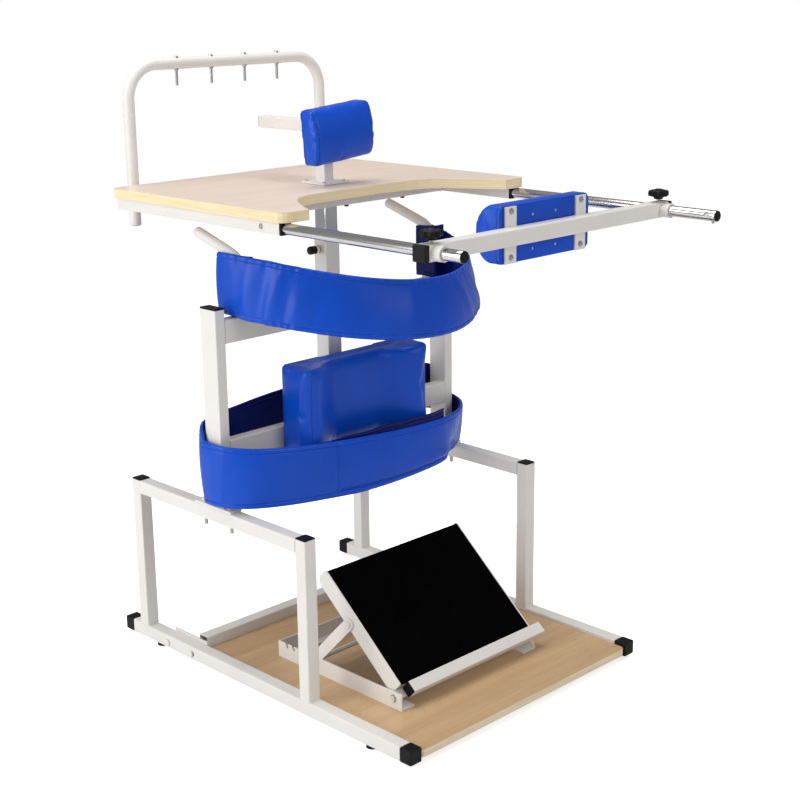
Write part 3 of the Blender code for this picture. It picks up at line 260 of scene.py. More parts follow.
@dataclass(frozen=True)
class Metal(Finish):
    """Bare bright metal: chrome, zinc or plated steel, told apart by tone, roughness and worked lines."""

    roughness: float
    grain: tuple[float, float, float]
    depth: float

    def look(self, g: Graph) -> dict[str, Any]:
        """The shader's inputs, with worked lines that follow the grain's stretch."""
        lines = g.noise(1.0, 3.0, 0.6, self.grain)
        haze = g.noise(26.0, 3.0)
        return {
            "Base Color": g.mix(haze.fade(0.40, 0.75) * 0.7, self.colour, self.shade),
            "Metallic": 1.0,
            "Roughness": haze * 0.08 + lines * 0.04 + (self.roughness - 0.06),
            "Normal": g.bump(lines, self.depth),
        }


@dataclass(frozen=True)
class Laminate(Finish):
    """A board faced with printed wood grain, its cut edge closed with a paler band."""

    pore: Colour
    edge: Colour
    edge_shade: Colour
    figure: float
    roughness: float

    def look(self, g: Graph) -> dict[str, Any]:
        """The shader's inputs: grain along x on the faces, the band wherever the board's side shows."""
        drift = g.noise(2.2, 2.0, 0.5, (1.2, 4.0, 1.0))
        streaks = g.noise(1.0, 5.0, 0.62, (1.6, 46.0, 20.0))
        lines = g.noise(1.0, 3.0, 0.6, (4.0, 260.0, 60.0))
        flecks = g.noise(1.0, 1.0, 0.5, (38.0, 900.0, 60.0))
        waves = (g.axes(g.place())[1] * 95.0 + drift * 9.0 + streaks * 2.0).sine() * 0.5 + 0.5
        tone = streaks.fade(0.30, 0.70) * 0.50 + waves * 0.28 + lines.fade(0.35, 0.70) * 0.22
        face = g.mix(tone * self.figure, self.colour, self.shade)
        face = g.mix(flecks.fade(0.60, 0.74) * (0.55 * self.figure), face, self.pore)
        upright = g.axes(g.node("NewGeometry").outputs["Normal"])[2]
        side = 1.0 - abs(upright).fade(0.35, 0.60)
        band_lines = g.noise(1.0, 2.0, 0.5, (9.0, 9.0, 520.0))
        band = g.mix(band_lines.fade(0.35, 0.70), self.edge, self.edge_shade)
        return {
            "Base Color": g.mix(side, face, band),
            "Roughness": lines * 0.12 + (self.roughness - 0.06),
            "Normal": g.bump(lines * 0.6 + flecks * 0.4, 0.00006),
            "Coat Weight": 0.06,
            "Coat Roughness": 0.30,
        }


@dataclass(frozen=True)
class Stitching:
    """A seam in a cushion's cover: where the surface crosses a plane, with a row of stitches beside it.

    normal is the plane's normal, place its distance from the world's origin along it, and along is the way
    that the stitches run.
    """

    normal: Colour
    place: float
    along: Colour
    width: float = 0.0013
    pitch: float = 0.0042
    row: float = 0.0026

    def lines(self, axes: Sequence[Channel]) -> tuple[Channel, Channel]:
        """The groove and the thread, each between 0 and 1, on a surface with those x, y and z."""
        x, y, z = axes
        off, run = (x * way[0] + y * way[1] + z * way[2] for way in (self.normal, self.along))
        off = off - self.place
        dashes = (run * (2 * math.pi / self.pitch)).sine().fade(-0.25, 0.05)
        thread = (1.0 - abs(off - self.row).fade(0.0003, 0.0006)) * dashes
        return 1.0 - abs(off).fade(self.width * 0.35, self.width), thread


@dataclass(frozen=True)
class Vinyl(Finish):
    """Upholstery vinyl: fine leather grain, soft ripples, and seams where a cushion has them, their grooves
    painted darker as shade.
    """

    thread: Colour = (0.020, 0.110, 0.520)
    specular: float = 0.28
    seams: tuple[Stitching, ...] = ()
    roughness: float = 0.21
    ripple: float = 0.0016

    def look(self, g: Graph) -> dict[str, Any]:
        """The shader's inputs."""
        cloud = g.noise(7.0, 3.0)
        grain = g.cells(1150.0).fade(0.05, 0.75)
        base = g.mix(cloud.fade(0.40, 0.72) * 0.55, self.colour, self.shade)
        normal = g.bump(g.noise(1.0, 2.0, 0.45, (22.0, 22.0, 9.0)), self.ripple)
        if self.seams:
            axes = g.axes(g.place())
            groove, stitch = self.seams[0].lines(axes)
            for seam in self.seams[1:]:
                line, row = seam.lines(axes)
                groove, stitch = groove.at_least(line), stitch.at_least(row)
            # painted shade: the seam's groove is darkened to 35% of the vinyl's colour
            base = g.mix(groove * 0.55, base, tuple(part * 0.35 for part in self.colour))
            base = g.mix(stitch * 0.8, base, self.thread)
            normal = g.bump(1.0 - groove + stitch * 0.4, 0.0009, 1.0, normal)
        return {
            "Base Color": base,
            "Roughness": cloud * 0.10 + grain * 0.05 + self.roughness,
            "Normal": g.bump(1.0 - grain, 0.00006, 0.8, normal),
            "Specular IOR Level": self.specular,
        }


WHITE = PowderCoat("off_white_powder_coat", "powder_coat", (0.800, 0.770, 0.730), (0.740, 0.705, 0.660))
PLASTIC = Moulded(
    "black_moulded_plastic",
    "black_plastic",
    (0.0022, 0.0022, 0.0024),
    (0.008, 0.008, 0.009),
    clouds=(38.0, 3.0, 0.5),
    band=(0.52, 0.80, 0.6),
    sheen=(0.16, 0.42),
    relief=("cells", 1500.0, 0.00005),
    specular=0.22,
)
RUBBER = Moulded(
    "black_rubber_pad",
    "black_rubber",
    (0.010, 0.010, 0.010),
    (0.050, 0.047, 0.043),
    clouds=(120.0, 4.0, 0.7),
    band=(0.50, 0.75, 0.5),
    sheen=(0.10, 0.80),
    relief=("noise", 900.0, 0.0001),
    specular=0.25,
)
MAT = BoardMat("footboard_mat", "board_mat", (0.0004, 0.0004, 0.0004), (0.0012, 0.0012, 0.0012))
CHROME = Metal(
    "bright_chrome", "chrome", (0.72, 0.71, 0.70), (0.60, 0.59, 0.59), 0.13, (900.0, 5.0, 900.0), 0.000006
)
ZINC = Metal(
    "zinc_plate", "chrome", (0.50, 0.49, 0.46), (0.36, 0.35, 0.34), 0.34, (300.0, 300.0, 300.0), 0.00002
)
STEEL = Metal(
    "plated_column", "chrome", (0.64, 0.66, 0.70), (0.54, 0.56, 0.61), 0.19, (320.0, 320.0, 6.0), 0.00001
)
BEECH = Laminate(
    "beech_laminate",
    "beech_laminate",
    (0.660, 0.450, 0.245),
    (0.505, 0.320, 0.155),
    pore=(0.310, 0.175, 0.080),
    edge=(0.850, 0.720, 0.520),
    edge_shade=(0.740, 0.590, 0.390),
    figure=0.85,
    roughness=0.42,
)
PALE = Laminate(
    "pale_maple_laminate",
    "pale_laminate",
    (0.790, 0.655, 0.565),
    (0.690, 0.545, 0.445),
    pore=(0.560, 0.410, 0.310),
    edge=(0.900, 0.765, 0.490),
    edge_shade=(0.830, 0.660, 0.380),
    figure=0.55,
    roughness=0.38,
)
VINYL = Vinyl("royal_blue_vinyl", "blue_vinyl", (0.0015, 0.0740, 0.5700), (0.0010, 0.0550, 0.4500))
# painted shade: a dark navy vinyl put on the belts' inner faces, the hip belt sleeves' outsides and the knee
# belt's tail in place of the shade that falls there
PAINTED_SHADE_NAVY = Vinyl(
    "painted_shade_navy_vinyl", "blue_vinyl", (0.0015, 0.0080, 0.1150), (0.0010, 0.0050, 0.0750), specular=0.14
)


@cache
def material_of(finish: Finish) -> bpy.types.Material:
    """The finish's material, built the first time it is asked for."""
    return finish.material()


def dress(finish: Finish, *nodes: str) -> None:
    """Gives CAD nodes a finish, by whole name or by a name's start that ends in an underscore."""
    for name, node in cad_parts.items():
        if any(name == wanted or (wanted[-1] == "_" and name.startswith(wanted)) for wanted in nodes):
            node.data.materials.clear()
            node.data.materials.append(material_of(finish))
            LOG.info("dressed %s in %s", name, finish.name)


# Surfaces


@dataclass
class Shell:
    """A surface over a grid of two parameters: rows along the piece, columns round it.

    points is (rows, columns, 3), and the last column joins the first. A ring's last row joins its first too,
    and a capped shell has a face over each end row. shade_painted marks the columns in the piece's next
    finish, which on the belts is a dark navy painted where shade falls.
    """

    points: Array
    ring: bool = False
    capped: bool = True
    shade_painted: Array | None = None

    def faces(self, start: int, finish: int) -> tuple[list[list[int]], list[int]]:
        """The quads and caps, counted from vertex number start, and the finish of each."""
        rows, columns = self.points.shape[:2]
        index = np.arange(rows * columns).reshape(rows, columns) + start
        ends = [index[0].tolist(), index[-1][::-1].tolist()] if self.capped and not self.ring else []
        if self.ring:
            index = np.vstack([index, index[:1]])
        index = np.hstack([index, index[:, :1]])
        quads = np.stack([index[:-1, :-1], index[:-1, 1:], index[1:, 1:], index[1:, :-1]], axis=-1)
        shade_painted = np.zeros(columns, int) if self.shade_painted is None else self.shade_painted.astype(int)
        worn = np.tile(shade_painted, len(quads)) + finish
        return quads.reshape(-1, 4).tolist() + ends, worn.tolist() + [finish] * len(ends)


def unit(vectors: Array) -> Array:
    """Each vector at length 1."""
    return vectors / np.maximum(np.linalg.norm(vectors, axis=-1, keepdims=True), 1e-12)


def smooth_step(low: float, high: float, value: Array) -> Array:
    """0 below low, 1 above high: t*t*(3 - 2t) between."""
    t = np.clip((value - low) / (high - low), 0.0, 1.0)
    return t * t * (3.0 - 2.0 * t)


def bell(value: Array, middle: float, width: float) -> Array:
    """exp(-((value - middle) / width)^2)."""
    return np.exp(-(((value - middle) / width) ** 2))


def bernstein(control: Sequence[Any], t: Array) -> Array:
    """A smooth line: the sum of C(n,k) * t^k * (1-t)^(n-k) times control point or number k."""
    points = np.asarray(control, float)
    order = np.arange(len(points))
    degree = len(points) - 1
    counts = np.array([math.comb(degree, int(k)) for k in order], float)
    return (counts * t[:, None] ** order * (1.0 - t[:, None]) ** (degree - order)) @ points


def bow(centre: Place, radius: float, start: float, end: float, steps: int) -> Array:
    """Points on a circle, centre + radius*(cos a, sin a), for a from start to end degrees."""
    angle = np.radians(np.linspace(start, end, steps + 1))
    return np.asarray(centre, float) + radius * np.column_stack([np.cos(angle), np.sin(angle)])


def polar(sides: int, reach: Callable[[Array], Array] = np.ones_like) -> Array:
    """A closed outline, reach(a) * (cos a, sin a), a circle of radius 1 if reach is left out."""
    angle = np.arange(sides) * (2 * np.pi / sides)
    return np.column_stack([np.cos(angle), np.sin(angle)]) * reach(angle)[:, None]


ROUND = polar(24)
HEXAGON = polar(24, lambda a: math.cos(math.pi / 6) / np.cos(np.mod(a, math.pi / 3) - math.pi / 6))


def square(half_x: float, half_y: float, corner: float, steps: int = 5) -> Array:
    """A rectangle with round corners, as four quarter circles one after the other."""
    x, y = half_x - corner, half_y - corner
    quarters = (((x, y), 0.0), ((-x, y), 90.0), ((-x, -y), 180.0), ((x, -y), 270.0))
    return np.vstack([bow(middle, corner, start, start + 90.0, steps) for middle, start in quarters])


def turned(
    profile: Sequence[tuple[float, float]],
    origin: Place,
    axis: Place,
    outline: Array = ROUND,
    first: Array | None = None,
    ring: bool = False,
) -> Shell:
    """A turned shape: origin + distance*axis + radius*(outline_x*first + outline_y*(axis x first)).

    profile holds the (distance, radius) pairs, outline is one for all of them or one for each, first is the
    direction of the outline's x, and in a ring the last pair joins the first.
    """
    pairs = np.asarray(profile, float)
    along = unit(np.asarray(axis, float))
    if first is None:
        first = X_AXIS if abs(along[0]) < 0.7 else Y_AXIS
    across = unit(first - along * np.dot(first, along))
    rings = outline * pairs[:, 1, None, None]
    spread = rings[..., :1] * across + rings[..., 1:] * np.cross(along, across)
    return Shell(np.asarray(origin, float) + pairs[:, 0, None, None] * along + spread, ring)


def running(line: Array) -> Array:
    """The running length at each point of a line."""
    return np.concatenate([[0.0], np.cumsum(np.linalg.norm(np.diff(line, axis=0), axis=1))])


def at_marks(line: Array, run: Array, marks: Array) -> Array:
    """The line's points at those running lengths."""
    return np.column_stack([np.interp(marks, run, column) for column in line.T])


def even(path: Array, step: float) -> Array:
    """The same line with points a step apart, by its running length."""
    run = running(path)
    return at_marks(path, run, np.linspace(0.0, run[-1], max(2, int(round(run[-1] / step)) + 1)))


def circles(
    centres: Array, tangents: Array, side: Array, radii: Array | float, sides: int
) -> Array:
    """Circles round those centres, square to the tangents: centre + r*(cos a * side + sin a * normal)."""
    normals = np.broadcast_to(unit(np.cross(side, tangents)), centres.shape)
    ring = polar(sides)
    spread = ring[None, :, :1] * side + ring[None, :, 1:] * normals[:, None]
    return centres[:, None] + np.broadcast_to(radii, len(centres))[:, None, None] * spread


def tube(path: Array, side: Array, radius: float, wall: float, sides: int = 28) -> Shell:
    """A round tube along a plane line, side being the plane's normal, with open ends that show its wall.

    At each end the outside turns in over a lip of radius wall/2 and goes 30 mm back inside.
    """
    inner = (radius - wall) / radius
    lips = np.array([inner, inner, inner, inner + (1 - inner) * 0.15, 1 - (1 - inner) * 0.15, 1.0])
    depth = np.array([0.030, 0.012, 0.0006, 0.0, 0.0, 0.0006])[:, None]
    start, finish = unit(path[0] - path[1]), unit(path[-1] - path[-2])
    lead = circles(path[0] - start * depth, -start, side, radius * lips, sides)
    middle = circles(path, unit(np.gradient(path, axis=0)), side, radius, sides)[1:-1]
    tail = circles(path[-1] - finish * depth[::-1], finish, side, radius * lips[::-1], sides)
    return Shell(np.concatenate([lead, middle, tail]))


WELD_STEP, WELD_PITCH, WELD_RIPPLE = 0.0009, 0.0034, 0.14


def weld(start: Place, end: Place, radius: float = 0.0019) -> Shell:
    """A weld bead along a straight seam: its radius ripples along it and tapers at both ends."""
    a, b = np.asarray(start, float), np.asarray(end, float)
    length = float(np.linalg.norm(b - a))
    t = np.linspace(0.0, 1.0, max(8, int(length / WELD_STEP)))
    ripple = 1.0 + WELD_RIPPLE * np.cos(2 * np.pi * t * length / WELD_PITCH)
    taper = np.sqrt(np.clip(1.0 - np.abs(2 * t - 1.0) ** 24, 0.03, 1.0))
    along = unit(b - a)
    side = unit(np.cross(along, Z_AXIS if abs(along[2]) < 0.7 else X_AXIS))
    return Shell(circles(a + (b - a) * t[:, None], along, side, radius * ripple * taper, 8))


@dataclass(frozen=True)
class Fastener:
    """A bolt head on a washer: a dome with a socket in it, or a hexagon with a turned chamfer.

    radius and height are the head's, washer and rise the washer's radius and height.
    """

    radius: float
    height: float
    washer: float
    rise: float
    hexagon: bool = False

    def at(self, *spots: tuple[Place, Place]) -> list[Shell]:
        """The washer and the head at each (place, axis)."""
        w, h, r, rim = self.rise, self.height, self.radius, self.washer
        if self.hexagon:
            ring = [(0.0, rim * 0.98), (w * 0.3, rim), (w * 0.9, rim * 0.98), (w, rim * 0.9)]
            head = [(w * 0.5, r), (w + h * 0.78, r), (w + h * 0.94, r * 0.93)]
            head += [(w + h, r * 0.82), (w + h * 0.97, r * 0.05)]
        else:
            ring = [(0.0, rim), (w * 0.9, rim * 0.98), (w, rim * 0.9)]
            head = [(w + h * math.sin(a), r * math.cos(a)) for a in np.radians([0, 20, 40, 58, 68])]
            head += [(w + h * 0.91, r * 0.33), (w + h * 0.45, r * 0.30), (w + h * 0.44, r * 0.02)]
        turns = ((ring, ROUND), (head, HEXAGON if self.hexagon else ROUND))
        return [turned(profile, *spot, outline) for spot in spots for profile, outline in turns]


RAIL_BOLT = Fastener(0.0048, 0.0030, 0.0066, 0.0009)
PROP_BOLT = Fastener(0.0056, 0.0030, 0.0082, 0.0012)
HINGE_BOLT = Fastener(0.0058, 0.0030, 0.0086, 0.0012)
RACK_SCREW = Fastener(0.0036, 0.0016, 0.0046, 0.0005)
SHOE_NUT = Fastener(0.0062, 0.0046, 0.0084, 0.0012, True)
RAIL_SCREW = Fastener(0.0042, 0.0022, 0.0056, 0.0006)
FLANGE_SCREW = Fastener(0.0036, 0.0018, 0.0046, 0.0005)
BOARD_SCREW = Fastener(0.0050, 0.0040, 0.0070, 0.0010, True)
ARCH_BOLT = Fastener(0.0056, 0.0030, 0.0074, 0.0010)
PEG_NUT = Fastener(0.0050, 0.0030, 0.0060, 0.0007, True)
STRAP_BOLT = Fastener(0.0042, 0.0028, 0.0060, 0.0008, True)


def make(
    name: str,
    body: Body,
    covers: Mapping[Finish, Iterable[Shell]],
    replaces: Sequence[str] = (),
    angle: float = 38.0,
) -> Object:
    """Makes one object of shells, with doubles merged and faces turned outwards, and sets it on its body.

    covers holds the shells in each finish; a shade_painted column takes the finish after its shell's own,
    which on the belts is the dark navy painted as shade. replaces names the CAD nodes that it stands for, and
    edges sharper than the angle stay sharp.
    """
    points: list[Array] = []
    faces: list[list[int]] = []
    worn: list[int] = []
    count = 0
    for number, shells in enumerate(covers.values()):
        for shell in shells:
            made, finishes = shell.faces(count, number)
            points.append(shell.points.reshape(-1, 3))
            faces += made
            worn += finishes
            count += len(points[-1])
    mesh = bpy.data.meshes.new(name)
    mesh.from_pydata(np.vstack(points).tolist(), [], faces)
    mesh.polygons.foreach_set("material_index", worn)
    bm = bmesh.new()
    bm.from_mesh(mesh)
    bmesh.ops.remove_doubles(bm, verts=bm.verts, dist=1e-6)
    bmesh.ops.recalc_face_normals(bm, faces=bm.faces)
    bm.to_mesh(mesh)
    bm.free()
    mesh.shade_smooth()
    mesh.set_sharp_from_angle(angle=math.radians(angle))
    obj = bpy.data.objects.new(name, mesh)
    bpy.context.scene.collection.objects.link(obj)
    for finish in covers:
        mesh.materials.append(material_of(finish))
    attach(obj, body.value)
    next(iter(covers)).slot
    if replaces:
        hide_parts(*replaces)
    LOG.info("made %s on %s with %d faces", name, body.value, len(mesh.polygons))
    return obj


# Cushions


@dataclass(frozen=True)
class Upholstery:
    """Puffs a cushion up like stuffed vinyl: voxels, cloth under pressure, a cap, then subdivision."""

    voxel: float
    cap: float
    frames: int = 20
    stiffness: tuple[float, float, float, float] = (18.0, 12.0, 8.0, 1.5)

    def inflate(self, obj: Object, held: Callable[[Array], Array]) -> None:
        """Replaces the object's mesh by its puffed form; held is true at points that rest on something."""
        self._apply(obj, "REMESH", mode="VOXEL", voxel_size=self.voxel, use_smooth_shade=True)
        rest = self._points(obj.data)
        obj.vertex_groups.new(name="held").add(np.flatnonzero(held(rest)).tolist(), 1.0, "REPLACE")
        cloth = obj.modifiers.new("cloth", "CLOTH")
        settings = cloth.settings
        settings.use_pressure = True
        settings.uniform_pressure_force = 4.0
        settings.effector_weights.gravity = 0.0
        settings.vertex_group_mass = "held"
        settings.quality = 5
        for kind, value in zip(("tension", "compression", "shear", "bending"), self.stiffness):
            setattr(settings, kind + "_stiffness", value)
        cloth.collision_settings.use_collision = False
        cloth.point_cache.frame_start = 1
        cloth.point_cache.frame_end = self.frames
        scene = bpy.context.scene
        for number in range(1, self.frames + 1):
            scene.frame_set(number)
        move = self._points(obj.evaluated_get(bpy.context.evaluated_depsgraph_get()).data) - rest
        obj.modifiers.remove(cloth)
        scene.frame_set(1)
        size = np.linalg.norm(move, axis=1, keepdims=True)
        move *= np.minimum(1.0, self.cap / np.maximum(size, 1e-9))
        obj.data.vertices.foreach_set("co", (rest + move).ravel())
        obj.vertex_groups.clear()
        self._apply(obj, "SUBSURF", levels=1, render_levels=1)
        obj.data.shade_smooth()

    @staticmethod
    def _points(mesh: bpy.types.Mesh) -> Array:
        """The mesh's points."""
        flat = np.empty(len(mesh.vertices) * 3, np.float32)
        mesh.vertices.foreach_get("co", flat)
        return flat.reshape(-1, 3).astype(float)

    @staticmethod
    def _apply(obj: Object, kind: str, **settings: Any) -> None:
        """Adds a modifier and makes its result the object's mesh."""
        modifier = obj.modifiers.new(kind.lower(), kind)
        for key, value in settings.items():
            setattr(modifier, key, value)
        made = bpy.data.meshes.new_from_object(obj.evaluated_get(bpy.context.evaluated_depsgraph_get()))
        obj.modifiers.clear()
        obj.data = made


@dataclass
class Cushion:
    """A block of foam in vinyl that stands on a flat back, its front crowned and its sides drawn in.

    Its back's middle is at centre, in a plane square to y, facing says whether its front looks along +y or
    -y, and roll turns it about y. ends holds where seams cross it, and board how far off its back one runs
    round it.
    """

    name: str
    body: Body
    node: str
    width: float
    height: float
    depth: float
    centre: tuple[float, float, float]
    facing: float
    corner: float
    pull: float
    upholstery: Upholstery
    crown: float = 0.0
    roll: float = 0.0
    ends: tuple[float, ...] = ()
    board: float | None = None
    grid: float = 0.004
    rows: tuple[int, int] = (22, 14)
    soft_edge: float = 0.003

    def front(self, x: Array, z: Array) -> Array:
        """How far the front stands off the back: depth - crown * |w|^2.4, the same all along x."""
        return self.depth - self.crown * np.minimum(np.abs(z) / (self.height / 2), 1.0) ** 2.4

    def seams(self) -> tuple[Stitching, ...]:
        """The cover's seams: one at each place in ends, across the pad, and one round it by its board."""
        tilt = math.radians(self.roll)
        across, up = (math.cos(tilt), 0.0, math.sin(tilt)), (-math.sin(tilt), 0.0, math.cos(tilt))
        middle = float(np.dot(across, self.centre))
        made = [Stitching(across, middle + place, up) for place in self.ends]
        if self.board is not None:
            made.append(Stitching((0.0, 1.0, 0.0), self.centre[1] + self.facing * self.board, across))
        return tuple(made)

    def shell(self) -> Shell:
        """The closed form: rows go from the middle of the back out, along the sides and in to the crown.

        An outline with round corners, its sides drawn in between them, is scaled from 0 to 1 over the back,
        stays at 1 along the sides and goes from 1 to 0 over the front, where its y follows front(x, z).
        """
        outline = square(self.width / 2, self.height / 2, self.corner, 7)
        closed = np.vstack([outline, outline[:1]])
        run = running(closed)
        outline = at_marks(closed, run, np.arange(0.0, run[-1], self.grid))
        share = outline / (self.width / 2, self.height / 2)
        inward = -np.sign(outline) * (1 - share[:, ::-1] ** 2) * (np.abs(share) > 0.93)
        back = np.linspace(0.0, 1.0, self.rows[0])
        rim = 0.5 - 0.5 * np.cos(np.linspace(0.0, np.pi, self.rows[1]))[1:-1]
        scale = np.concatenate([back, np.ones(len(rim)), back[::-1]])[:, None]
        rise = np.concatenate([np.zeros(len(back)), rim, np.ones(len(back))])[:, None]
        drawn = self.pull * np.sin(np.pi * rise)
        flat = outline[None] * scale[..., None] + inward[None] * drawn[..., None]
        x, z = flat[..., 0], flat[..., 1]
        y = (self.front(x, z) - smooth_step(0.90, 1.0, scale) * self.soft_edge) * rise
        tilt = math.radians(self.roll)
        cos, sin = math.cos(tilt), math.sin(tilt)
        points = np.stack([x * cos - z * sin, self.facing * y, x * sin + z * cos], axis=-1)
        return Shell(points + np.asarray(self.centre), capped=False)

    def held(self, points: Array) -> Array:
        """True on the flat back, which lies on its board."""
        return np.abs(points[:, 1] - self.centre[1]) < 0.0035

    def build(self) -> list[Object]:
        """Makes, puffs and dresses the cushion."""
        cover = Vinyl("vinyl_of_" + self.name, VINYL.slot, VINYL.colour, VINYL.shade, seams=self.seams())
        obj = make(self.name, self.body, {cover: [self.shell()]}, [self.node], 180.0)
        self.upholstery.inflate(obj, self.held)
        obj.data.materials.clear()
        obj.data.materials.append(material_of(cover))
        return [obj]


@dataclass
class KneeBlock(Cushion):
    """The block between the knees and the posts: a wing at each side and a hollow between them."""

    recess: float = 0.0434
    wing: float = 0.0874

    def front(self, x: Array, z: Array) -> Array:
        """recess + (wing - recess) * smooth(|u| from 0.32 to 0.96), falling off at the outer corners."""
        u, w = np.abs(x) / (self.width / 2), np.abs(z) / (self.height / 2)
        deep = self.recess + (self.wing - self.recess) * smooth_step(0.32, 0.96, u)
        outside = np.clip((u - 0.94) / 0.06, 0.0, 1.0)
        ends = np.clip((w - 0.90) / 0.10, 0.0, 1.0)
        return deep - 0.006 * outside**2 - 0.004 * ends**2


# Belts

ROW_SHIFT = np.array([0.0, 0.0905, 0.0])


@dataclass
class Crease:
    """One fold of a belt: its place, width and height, how it leans and where it fades."""

    at: float
    width: float
    height: float
    lean: float = 0.0
    middle: float = 0.0
    reach: float = 0.09

    def relief(self, t: Array, h: Array) -> Array:
        """height * exp(-((t - at - lean*h)/width)^2) * exp(-((h - middle)/reach)^2)."""
        return self.height * bell(t - self.lean * h, self.at, self.width) * bell(h, self.middle, self.reach)


@dataclass
class Belt:
    """A padded belt between an upper and a lower edge line, (rows, 3) each, with t from 0 to 1 along it."""

    upper: Array
    lower: Array
    out: Array
    t: Array
    thickness: float
    bulge: float = 0.0
    closed: bool = False
    creases: Sequence[Crease] = ()
    hem: float = 0.0105
    extra: Callable[[Array, Array, Array], Array] | None = None

    def shell(self) -> Shell:
        """The belt's skin: a section with round edges carried along the belt.

        A column's height is m*(half height) + o: m runs from -1 to 1 over the face, and by the edges it is
        +-1 with o giving the distance in. Its thickness is half the padding, with a stitched groove at the
        hem, a bulge 1 - (h/half)^2 and the creases added to both faces.
        """
        half = np.linalg.norm(self.upper - self.lower, axis=1)[:, None] / 2
        middle = (self.upper + self.lower) / 2
        rise = unit(self.upper - self.lower)
        out = unit(self.out - rise * np.sum(self.out * rise, axis=1, keepdims=True))
        share, offset, depth, outer = self._section()
        h = share * half + offset
        t = np.broadcast_to(self.t[:, None], h.shape)
        swell = self.bulge * np.clip(1.0 - (h / half) ** 2, 0.0, 1.0)
        shift = sum((crease.relief(t, h) for crease in self.creases), np.zeros_like(h))
        w = depth * self._end_taper(middle)[:, None] + swell + shift
        if self.extra is not None:
            w = w + self.extra(t, h, half) * outer
        points = middle[:, None] + h[..., None] * rise[:, None] + w[..., None] * out[:, None]
        # painted shade: the columns off the outer face take the dark navy finish
        return Shell(points, ring=self.closed, shade_painted=outer < 0.5)

    def _section(self) -> tuple[Array, Array, Array, Array]:
        """The section's columns: share of the half height, offset, depth, and 1 on the outer face."""
        r = self.thickness / 2
        hem = np.array([0.0200, 0.0150, 0.0128, 0.0116, self.hem, 0.0094, 0.0084, 0.0066])
        sewn = r - 0.0013 * bell(hem, self.hem, 0.0009)
        face = np.linspace(-1.0, 1.0, 33)
        arc = np.radians(np.linspace(0.0, 90.0, 5))
        edge, round_off = r * (1.0 - np.cos(arc)), r * np.sin(arc)
        margin = np.ones(len(arc) + len(hem))
        share = np.concatenate([-margin, face, margin])
        offset = np.concatenate([edge, hem[::-1], face * -0.0240, -hem, -edge[::-1]])
        depth = np.concatenate([round_off, sewn[::-1], np.full(len(face), r), sewn, round_off[::-1]])
        inner = slice(-2, 0, -1)
        outer = np.concatenate([np.ones(len(share)), np.zeros(len(share) - 2)])
        signed = ((share, 1), (offset, 1), (depth, -1))
        return (*(np.concatenate([side, sign * side[inner]]) for side, sign in signed), outer)

    def _end_taper(self, middle: Array) -> Array:
        """How much of the thickness is left by the two free ends: a quarter round over 6 mm."""
        if self.closed:
            return np.ones(len(middle))
        run = running(middle)
        left = np.clip(1.0 - np.minimum(run, run[-1] - run) / 0.006, 0.0, 1.0)
        return np.maximum(np.sqrt(1.0 - left**2), 0.25)


